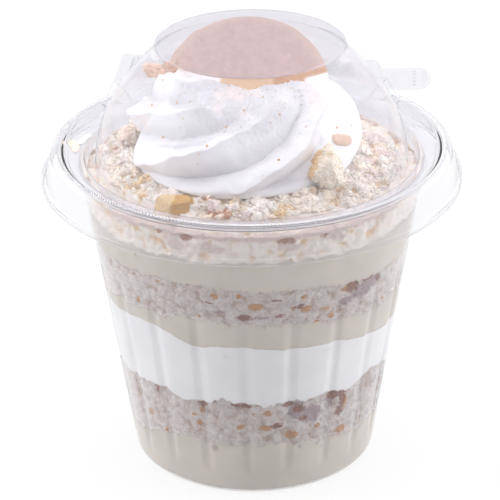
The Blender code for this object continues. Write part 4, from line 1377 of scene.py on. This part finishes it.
def buildCookie():
    radius, crown, sole = (cookieShape[key] for key in ("radius", "crown", "sole"))
    shares = np.sin(np.radians(np.linspace(2.0, 90.0, 60)))
    section = [(radius * s, crown * math.sqrt(max(0.0, 1.0 - s ** 2.4))) for s in shares]
    section += [(radius - 0.15 * mm, -0.35 * sole), (radius - 0.6 * mm, -0.7 * sole),
                (radius - 2.0 * mm, -sole), (2.0 * mm, -sole)]
    bearing = bearings(cookieShape["stepsRound"])
    girth, height = spunOut(closeRows(section, 0.6 * mm), bearing)
    rings = places(girth, bearing[None, :], height)
    wide = Ripple(71, 20, 5.0 * mm, 16.0 * mm).at(rings)
    fine = Ripple(72, 40, 0.7 * mm, 2.5 * mm).at(rings)
    rings[..., 2] += 0.12 * mm * wide + 0.02 * mm * fine
    rings[..., :2] *= (1.0 + 0.002 * wide)[..., None]
    mesh = loft("waferCookie", rings)
    # a deeper gold at its edge, where it is baked, and painted gold below a shallow curve across its
    # middle, where the lid disc's hazy reflection gives way to the clearer view through its wall
    points = vertexPlaces(mesh)
    edge = ramp(np.hypot(points[:, 0], points[:, 1]), 0.80 * radius, 1.02 * radius)
    side = points[:, 0] / mm
    below = (-0.5 + 0.0135 * side ** 2) - points[:, 1] / mm
    uneven = 0.5 * Ripple(73, 20, 1.5 * mm, 6.0 * mm).at(points)
    lower = ramp(below + 0.2 * uneven, -0.2, 0.3)
    setAttribute(mesh, "gold", np.maximum(0.35 * edge, lower))
    # the painted band turns browner to the right, where the view through the disc's wall is deeper
    # orange-brown
    setAttribute(mesh, "brown", lower * ramp(side, 6.0, 7.4))
    # both ends of the lower part turn near white, with cream smeared at the left
    leftEnd = 1.0 - ramp(side + 3.0 * uneven, -10.5, -7.5)
    rightEnd = ramp(side, 14.0, 15.5) * ramp(below, 1.6, 2.6)
    setAttribute(mesh, "smear", lower * np.minimum(leftEnd + rightEnd, 1.0))
    # sugar lies on the crown only
    setAttribute(mesh, "spread", np.where(points[:, 2] > 0.3 * crown, 1.0, 0.0))
    lean = Matrix.Rotation(cookieShape["tilt"], 4, "X")
    mesh.transform(Matrix.Translation(cookieShape["centre"]) @ lean)
    piece = addPiece("waferCookie", mesh, finishes["wafer"])
    finishPiece(piece, "wafer", "wafer_cookie")
    return piece


cookie = buildCookie()
print("cookie built")


# Broken pieces of wafer and cake, and dabs of cream: middle and half sizes in mm, turn about each
# axis in degrees, flat broken faces as a direction and how far out, size of the lumps in mm, how
# crumbly it is, and the side that is golden, from how far out

brokenPieces = {
    "goldenChunk": {"node": "wafer_piece_front", "finish": "chunk", "slot": "wafer",
                    "middle": (-19.2, -31.4, 80.6), "half": (5.6, 3.9, 4.4), "turn": (0, 0, -6),
                    "cuts": ((0.30, -0.93, 0.20, 2.6), (-0.72, -0.62, 0.30, 2.7),
                             (0.0, -0.15, 1.0, 3.1), (1.0, -0.2, 0.1, 4.6)),
                    "lump": 1.8, "rough": 0.3, "goldTowards": (1.0, -0.2, 0.0)},
    "cakeChunkRight": {"node": "cake_piece_right", "finish": "cake", "slot": "cake_crumbs",
                       "middle": (18.6, -22.6, 87.8), "half": (5.6, 4.2, 5.8), "turn": (0, 12, 0),
                       "cuts": ((0.8, -0.2, 0.55, 2.6), (-0.7, -0.2, 0.5, 3.3)), "lump": 1.6,
                       "rough": 0.9, "goldTowards": (-1.0, 0.0, 0.2), "goldFrom": 3.0},
    "cakeChunkLeft": {"node": "cake_piece_left", "finish": "rosy", "slot": "cake_crumbs",
                      "middle": (-31.6, 6.0, 84.4), "half": (3.2, 3.6, 2.8), "turn": (0, 0, 0),
                      "cuts": (), "lump": 1.9, "rough": 1.1},
    "waferSliver": {"node": "wafer_sliver", "finish": "baked", "slot": "wafer",
                    "middle": (-24.4, 2.6, 104.0), "half": (3.3, 2.2, 1.7), "turn": (20, 12, 0),
                    "cuts": ((0.1, -0.6, 0.8, 1.1), (-0.8, -0.4, -0.3, 2.4)), "lump": 1.1,
                    "rough": 0.7},
    "waferSliverRight": {"finish": "baked", "slot": "wafer",
                         "middle": (-19.8, 3.6, 104.6), "half": (2.8, 1.8, 1.6), "turn": (20, -14, 0),
                         "cuts": ((0.2, -0.6, 0.7, 1.0), (0.8, -0.4, -0.3, 2.0)), "lump": 1.1,
                         "rough": 1.0},
    "waferCrumbBack": {"finish": "baked", "slot": "wafer",
                       "middle": (-12.6, 1.4, 100.2), "half": (1.5, 0.9, 0.8), "turn": (20, 0, 10),
                       "cuts": (), "lump": 0.9, "rough": 1.2},
    "waferCrumbSide": {"finish": "baked", "slot": "wafer",
                       "middle": (-10.4, -1.4, 98.4), "half": (1.2, 0.9, 0.6), "turn": (20, 0, -20),
                       "cuts": (), "lump": 0.9, "rough": 1.2},
    "creamOnWafer": {"finish": "cream", "slot": "whipped_cream",
                     "middle": (-4.9, 5.3, 102.75), "half": (2.2, 1.5, 0.5), "turn": (35, 0, 0),
                     "cuts": (), "lump": 1.4, "rough": 0.7},
    "smearOnLid": {"finish": "rosy", "slot": "cake_crumbs",
                   "middle": (-45.4, 2.2, 83.35), "half": (1.2, 3.4, 0.22), "turn": (0, 0, 4),
                   "cuts": (), "lump": 1.0, "rough": 0.2, "uneven": 0.35},
    "foamOnLid": {"finish": "cream", "slot": "whipped_cream",
                  "middle": (-42.9, 7.4, 83.25), "half": (0.9, 3.0, 0.2), "turn": (0, 0, -24),
                  "cuts": (), "lump": 1.0, "rough": 0.2, "uneven": 0.35},
}


def ballMesh(name, level):
    mesh = bpy.data.meshes.new(name)
    shape = bmesh.new()
    bmesh.ops.create_icosphere(shape, subdivisions=level, radius=1.0)
    shape.to_mesh(mesh)
    shape.free()
    return mesh


def buildBroken(name, style, seed):
    # only the pieces as large as berries need the finest ball
    mesh = ballMesh(name, 6 if max(style["half"]) > 3.5 else 5)
    points = vertexPlaces(mesh)
    # a blunt ball, cut flat where it broke off
    points = np.sign(points) * np.abs(points) ** 0.8 * np.array(style["half"])
    uneven = style.get("uneven", 0.05)
    points *= (1.0 + uneven * Ripple(seed, 16, 3.0, 9.0).at(points))[:, None]
    for *direction, reach in style["cuts"]:
        facing = np.array(direction) / np.linalg.norm(direction)
        over = np.maximum(points @ facing - reach, 0.0)
        points -= 0.93 * over[:, None] * facing
    outward = points / (np.linalg.norm(points, axis=1, keepdims=True) + 1e-6)
    points += (style["rough"] * 0.12 * Ripple(seed + 1, 30, 0.7, 2.4).at(points))[:, None] * outward
    mesh.vertices.foreach_set("co", points.ravel())
    if "goldTowards" in style:
        towards = np.array(style["goldTowards"]) / np.linalg.norm(style["goldTowards"])
        along = points @ towards - style.get("goldFrom", 0.0)
        setAttribute(mesh, "gold", ramp(along, -0.7, 0.9))
    setAttribute(mesh, "relief", np.ones(len(points)))
    setAttribute(mesh, "spread", np.ones(len(points)))
    turn = Euler([math.radians(a) for a in style["turn"]]).to_matrix().to_4x4()
    mesh.transform(Matrix.Translation(Vector(style["middle"]) * mm) @ turn @ Matrix.Scale(mm, 4))
    piece = addPiece(name, mesh, finishes[style["finish"]])
    lump = style["lump"] * mm
    applyTree(piece, crumbRelief, Lump_Size=lump, Lump_Depth=0.45 * lump * style["rough"],
              Grain_Size=0.6 * mm, Grain_Depth=0.2 * mm, Shift=0.1 * seed)
    settle(piece)
    finishPiece(piece, style["slot"], *([style["node"]] if "node" in style else []))
    return piece


broken = {brokenName: buildBroken(brokenName, brokenStyle, 90 + 3 * index)
          for index, (brokenName, brokenStyle) in enumerate(brokenPieces.items())}
for brokenName in ("cakeChunkRight", "cakeChunkLeft"):
    scatterCrumbs(brokenName + "Crumbs", broken[brokenName],
                  {"finish": brokenPieces[brokenName]["finish"], "level": 1, "Density": 2.6e6,
                   "Smallest": 0.3, "Largest": 0.8, "Rise": 0.05, "Flatness": 0.9,
                   "Roughness": 0.3, "Seed": 31})
print("broken pieces built")


# Chip of wafer on the cream, and crumbs and sugar caught on the cream and the cookie

chipShape = {"at": (22.4, -13.9, 91.4), "half": (2.6, 0.9, 1.5), "turn": -0.35, "blunt": 0.62,
             "bow": 0.12}


def buildChip():
    # a lens with a blunt rim, set into the cream where the swirl's side is
    place, normal = cream.closest_point_on_mesh(Vector(chipShape["at"]) * mm)[1:3]
    mesh = ballMesh("waferChip", 5)
    lumps = Ripple(81, 20, 0.5, 2.0).at(vertexPlaces(mesh))
    wide, thick, tall = chipShape["half"]
    for vertex, lump in zip(mesh.vertices, lumps):
        x, y, z = (math.copysign(abs(c) ** chipShape["blunt"], c) for c in vertex.co)
        spot = Vector((x * wide, y * thick + chipShape["bow"] * x * x, z * tall))
        vertex.co = spot * (1.0 + 0.03 * lump)
    facing = normal.to_track_quat("Y", "Z").to_matrix().to_4x4()
    turn = Euler((0.0, chipShape["turn"], 0.0)).to_matrix().to_4x4()
    mesh.transform(Matrix.Translation(place) @ facing @ turn @ Matrix.Scale(mm, 4))
    finishPiece(addPiece("waferChip", mesh, finishes["chip"]), "wafer")


buildChip()

caughtCrumbs = {
    "crumbsOnCream": {"on": "cream", "finish": "golden", "level": 1, "Density": 1.6e4,
                      "Smallest": 0.3, "Largest": 0.8, "Rise": 0.15, "Flatness": 0.7,
                      "Roughness": 0.4, "Seed": 21},
    "fuzzOnCream": {"on": "cream", "finish": "sugar", "level": 1, "Density": 2.2e5, "spread": "fuzz",
                    "Smallest": 0.18, "Largest": 0.5, "Rise": 0.3, "Flatness": 0.9,
                    "Roughness": 0.3, "Seed": 22},
    "sugarOnWafer": {"on": "cookie", "finish": "sugar", "level": 1, "Density": 2.2e5,
                     "Smallest": 0.12, "Largest": 0.3, "Rise": 0.2, "Flatness": 0.8,
                     "Roughness": 0.2, "Seed": 23},
}
for crumbName, crumbStyle in caughtCrumbs.items():
    scatterCrumbs(crumbName, {"cream": cream, "cookie": cookie}[crumbStyle["on"]], crumbStyle)
print("chip, crumbs and sugar set on")


# Knurled band on the rim

knurlShape = {"Ribs": 340, "Radius": 48.9 * mm, "Height": cupShape["rimHeight"] - 0.04 * mm,
              "Rib_Length": 1.9 * mm, "Rib_Width": 0.42 * mm, "Rib_Rise": 0.4 * mm, "Slant": 0.8}
knurl = addObject("rimKnurl", bpy.data.meshes.new("rimKnurl"))
applyTree(knurl, ribRing, Material=finishes["rib"], **knurlShape)
settle(knurl)
finishPiece(knurl, "clear_plastic")
print("knurl built")


# Tear strip with its pull tab: one pressed sheet behind the rim

stripShape = {
    "y": 50.6, "foot": 82.0, "topLeft": 89.6, "topRight": 86.9, "halfFoot": 37.4, "halfTop": 34.6,
    "tabEnd": 49.3, "tabLow": 78.2, "tabHigh": 84.4, "tabStart": 33.0, "corner": 1.8,
    "waveHeight": 0.12, "wavePitch": 0.62, "waveLength": 1.25, "plain": 2.6,
    "hatchHeight": 0.10, "hatchPitch": 1.15, "sheet": 0.3,
    "from": -37.35, "to": 45.0, "columns": 520, "rows": 66,
    "roundMiddle": 46.2, "roundReach": 3.09, "roundColumns": 40,   # the tab's round end
}


def stripEdges(x):
    # lowest and highest point of the sheet at a place across it
    look = stripShape
    share = (x + look["halfTop"]) / (2.0 * look["halfTop"])
    high = look["topLeft"] + (look["topRight"] - look["topLeft"]) * np.clip(share, 0.0, 1.0)
    slope = (high - look["foot"]) / (look["halfFoot"] - look["halfTop"])
    sides = look["foot"] + (look["halfFoot"] - np.abs(x)) * slope
    corner = look["corner"] / 4.0
    high = -np.log(np.exp(-high / corner) + np.exp(-sides / corner)) * corner
    low = np.full_like(x, look["foot"])
    half = (look["tabHigh"] - look["tabLow"]) / 2.0
    middle = (look["tabHigh"] + look["tabLow"]) / 2.0
    centre = look["tabEnd"] - half
    reach = half * np.sqrt(np.clip(1.0 - ((x - centre) / half) ** 2, 0.0, 1.0))
    reach = np.where(x < centre, half, reach)
    reach = reach * ramp(x, look["tabStart"], look["tabStart"] + 1.2)
    onTab = x > look["tabStart"]
    high = np.where(onTab, np.maximum(high, middle + reach), high)
    low = np.where(onTab, np.minimum(low, middle - reach), low)
    free = x > look["halfFoot"] - 0.6
    return np.where(free, middle - reach, low), np.where(free, middle + reach, high)


def buildStrip():
    look = stripShape
    # columns lie closer together towards the tab's round end
    turn = np.linspace(-0.35, 1.0, look["roundColumns"]) * np.pi / 2.0
    across = np.concatenate([np.linspace(look["from"], look["to"], look["columns"]),
                             look["roundMiddle"] + look["roundReach"] * np.sin(turn)])
    across = np.unique(np.round(across, 4))
    rows = look["rows"]
    low, high = stripEdges(across)
    share = np.linspace(0.0, 1.0, rows)[:, None]
    z = low + (high - low) * share
    x = across[None, :] + 0.0 * z
    # wavy ribs across the band, and diamonds on the tab, inside a plain border
    fromSide = (x + look["halfFoot"]) - 0.36 * (z - look["foot"])
    inside = ramp(fromSide, look["plain"], look["plain"] + 0.4) * (1.0 - ramp(x, 28.0, 30.0))
    inside *= ramp(high - z, 0.5, 1.1) * ramp(z - low, 0.3, 0.9)
    bend = 0.35 * np.sin(2.0 * np.pi * fromSide / look["waveLength"])
    waves = np.sin(2.0 * np.pi * (z + bend) / look["wavePitch"]) * inside * look["waveHeight"]
    onTab = ramp(x, 33.5, 34.5) * ramp(high - z, 0.45, 0.9) * ramp(z - low, 0.45, 0.9)
    onTab *= ramp(look["tabEnd"] - x, 0.5, 1.2)
    lines = np.maximum(*(np.abs(np.cos(np.pi * (x + side * 1.1 * z) / look["hatchPitch"]))
                         for side in (1.0, -1.0))) ** 6
    y = look["y"] - waves - lines * onTab * look["hatchHeight"]
    grid = np.stack([x, y, z], axis=-1) * mm
    columns = len(across)
    faces = [(row * columns + column, row * columns + column + 1,
              (row + 1) * columns + column + 1, (row + 1) * columns + column)
             for row in range(rows - 1) for column in range(columns - 1)]
    strip = addPiece("tearStrip", meshFrom("tearStrip", grid.reshape(-1, 3), faces),
                     finishes["strip"], 60.0)
    thicken(strip, look["sheet"] * mm)
    settle(strip)
    finishPiece(strip, "clear_plastic", "tear_strip")


buildStrip()
print("tear strip built")


# Floor, light and camera

def buildFloor():
    mesh = meshFrom("floor", [(-3, -3, 0), (3, -3, 0), (3, 3, 0), (-3, 3, 0)], [(0, 1, 2, 3)])
    material, tree, shader = newMaterial("paleFloor")
    # a lit table: its own glow keeps the shadow under the cup pale
    feed(tree, shader, Base_Color=(0.10, 0.10, 0.10, 1.0), Roughness=0.9, Emission_Strength=0.85,
         Emission_Color=(1.0, 1.0, 1.0, 1.0))
    floor = addPiece("floor", mesh, material)
    floor.location.z = -0.2 * mm


studio = {
    "around": (0.97, 0.96, 0.99), "front": (0.40, 0.40, 0.415), "above": (0.50, 0.50, 0.50),
    "sides": (0.80, 0.81, 0.87), "aim": (0.0, 0.0, 0.06),
    "lamps": {
        "above": {"at": (0.0, 0.25, 0.9), "size": 0.5, "watts": 1.5},
        "left": {"at": (-0.8, -0.1, 0.45), "size": 0.5, "watts": 1.6},
        "right": {"at": (0.8, -0.1, 0.45), "size": 0.5, "watts": 1.6},
    },
}


def buildStudio():
    world = bpy.data.worlds.new("studio")
    bpy.context.scene.world = world
    world.use_nodes = True
    tree = world.node_tree
    # white screens at the sides, behind and above, and a dimmer room in front
    direction = tree.nodes.new("ShaderNodeTexCoord").outputs["Generated"]
    x, y, z = addNode(tree, "ShaderNodeSeparateXYZ", Vector=direction).outputs
    front = easedRange(tree, calc(tree, "MULTIPLY", y, -1.0), 0.1, 0.85, 0.0, 1.0)
    screens = blended(tree, front, studio["around"], studio["front"])
    beside = easedRange(tree, calc(tree, "ABSOLUTE", x), 0.45, 0.95, 0.0, 1.0)
    screens = blended(tree, beside, screens, studio["sides"], "ADD")
    above = easedRange(tree, z, 0.3, 1.0, 0.0, 1.0)
    screens = blended(tree, above, screens, studio["above"], "ADD")
    tree.links.new(screens, tree.nodes["Background"].inputs["Color"])
    for name, lamp in studio["lamps"].items():
        light = bpy.data.lights.new(name, "AREA")
        light.size = lamp["size"]
        light.energy = lamp["watts"]
        holder = addObject(name, light)
        holder.location = lamp["at"]
        aim = Vector(studio["aim"]) - holder.location
        holder.rotation_euler = aim.to_track_quat("-Z", "Y").to_euler()


cameraSetup = {"elevation": 26.02, "distance": 612.0 * mm, "target": (-0.714, 0.0, 54.52),
               "lens": 169.8, "roll": -0.69}


def buildCamera():
    data = bpy.data.cameras.new("camera")
    data.lens = cameraSetup["lens"]
    data.sensor_width = 36.0
    data.clip_start = 0.01
    camera = addObject("camera", data)
    lift = math.radians(cameraSetup["elevation"])
    target = Vector(cameraSetup["target"]) * mm
    reach = cameraSetup["distance"]
    camera.location = target + Vector((0.0, -math.cos(lift), math.sin(lift))) * reach
    facing = (target - camera.location).to_track_quat("-Z", "Y").to_matrix()
    roll = Matrix.Rotation(math.radians(cameraSetup["roll"]), 3, "Z")
    camera.rotation_euler = (facing @ roll).to_euler()
    bpy.context.scene.camera = camera


buildFloor()
buildStudio()
buildCamera()
scene = bpy.context.scene
scene.view_settings.view_transform = "Standard"
scene.cycles.max_bounces = 24
scene.cycles.transmission_bounces = 24
scene.cycles.transparent_max_bounces = 32
print("studio ready")
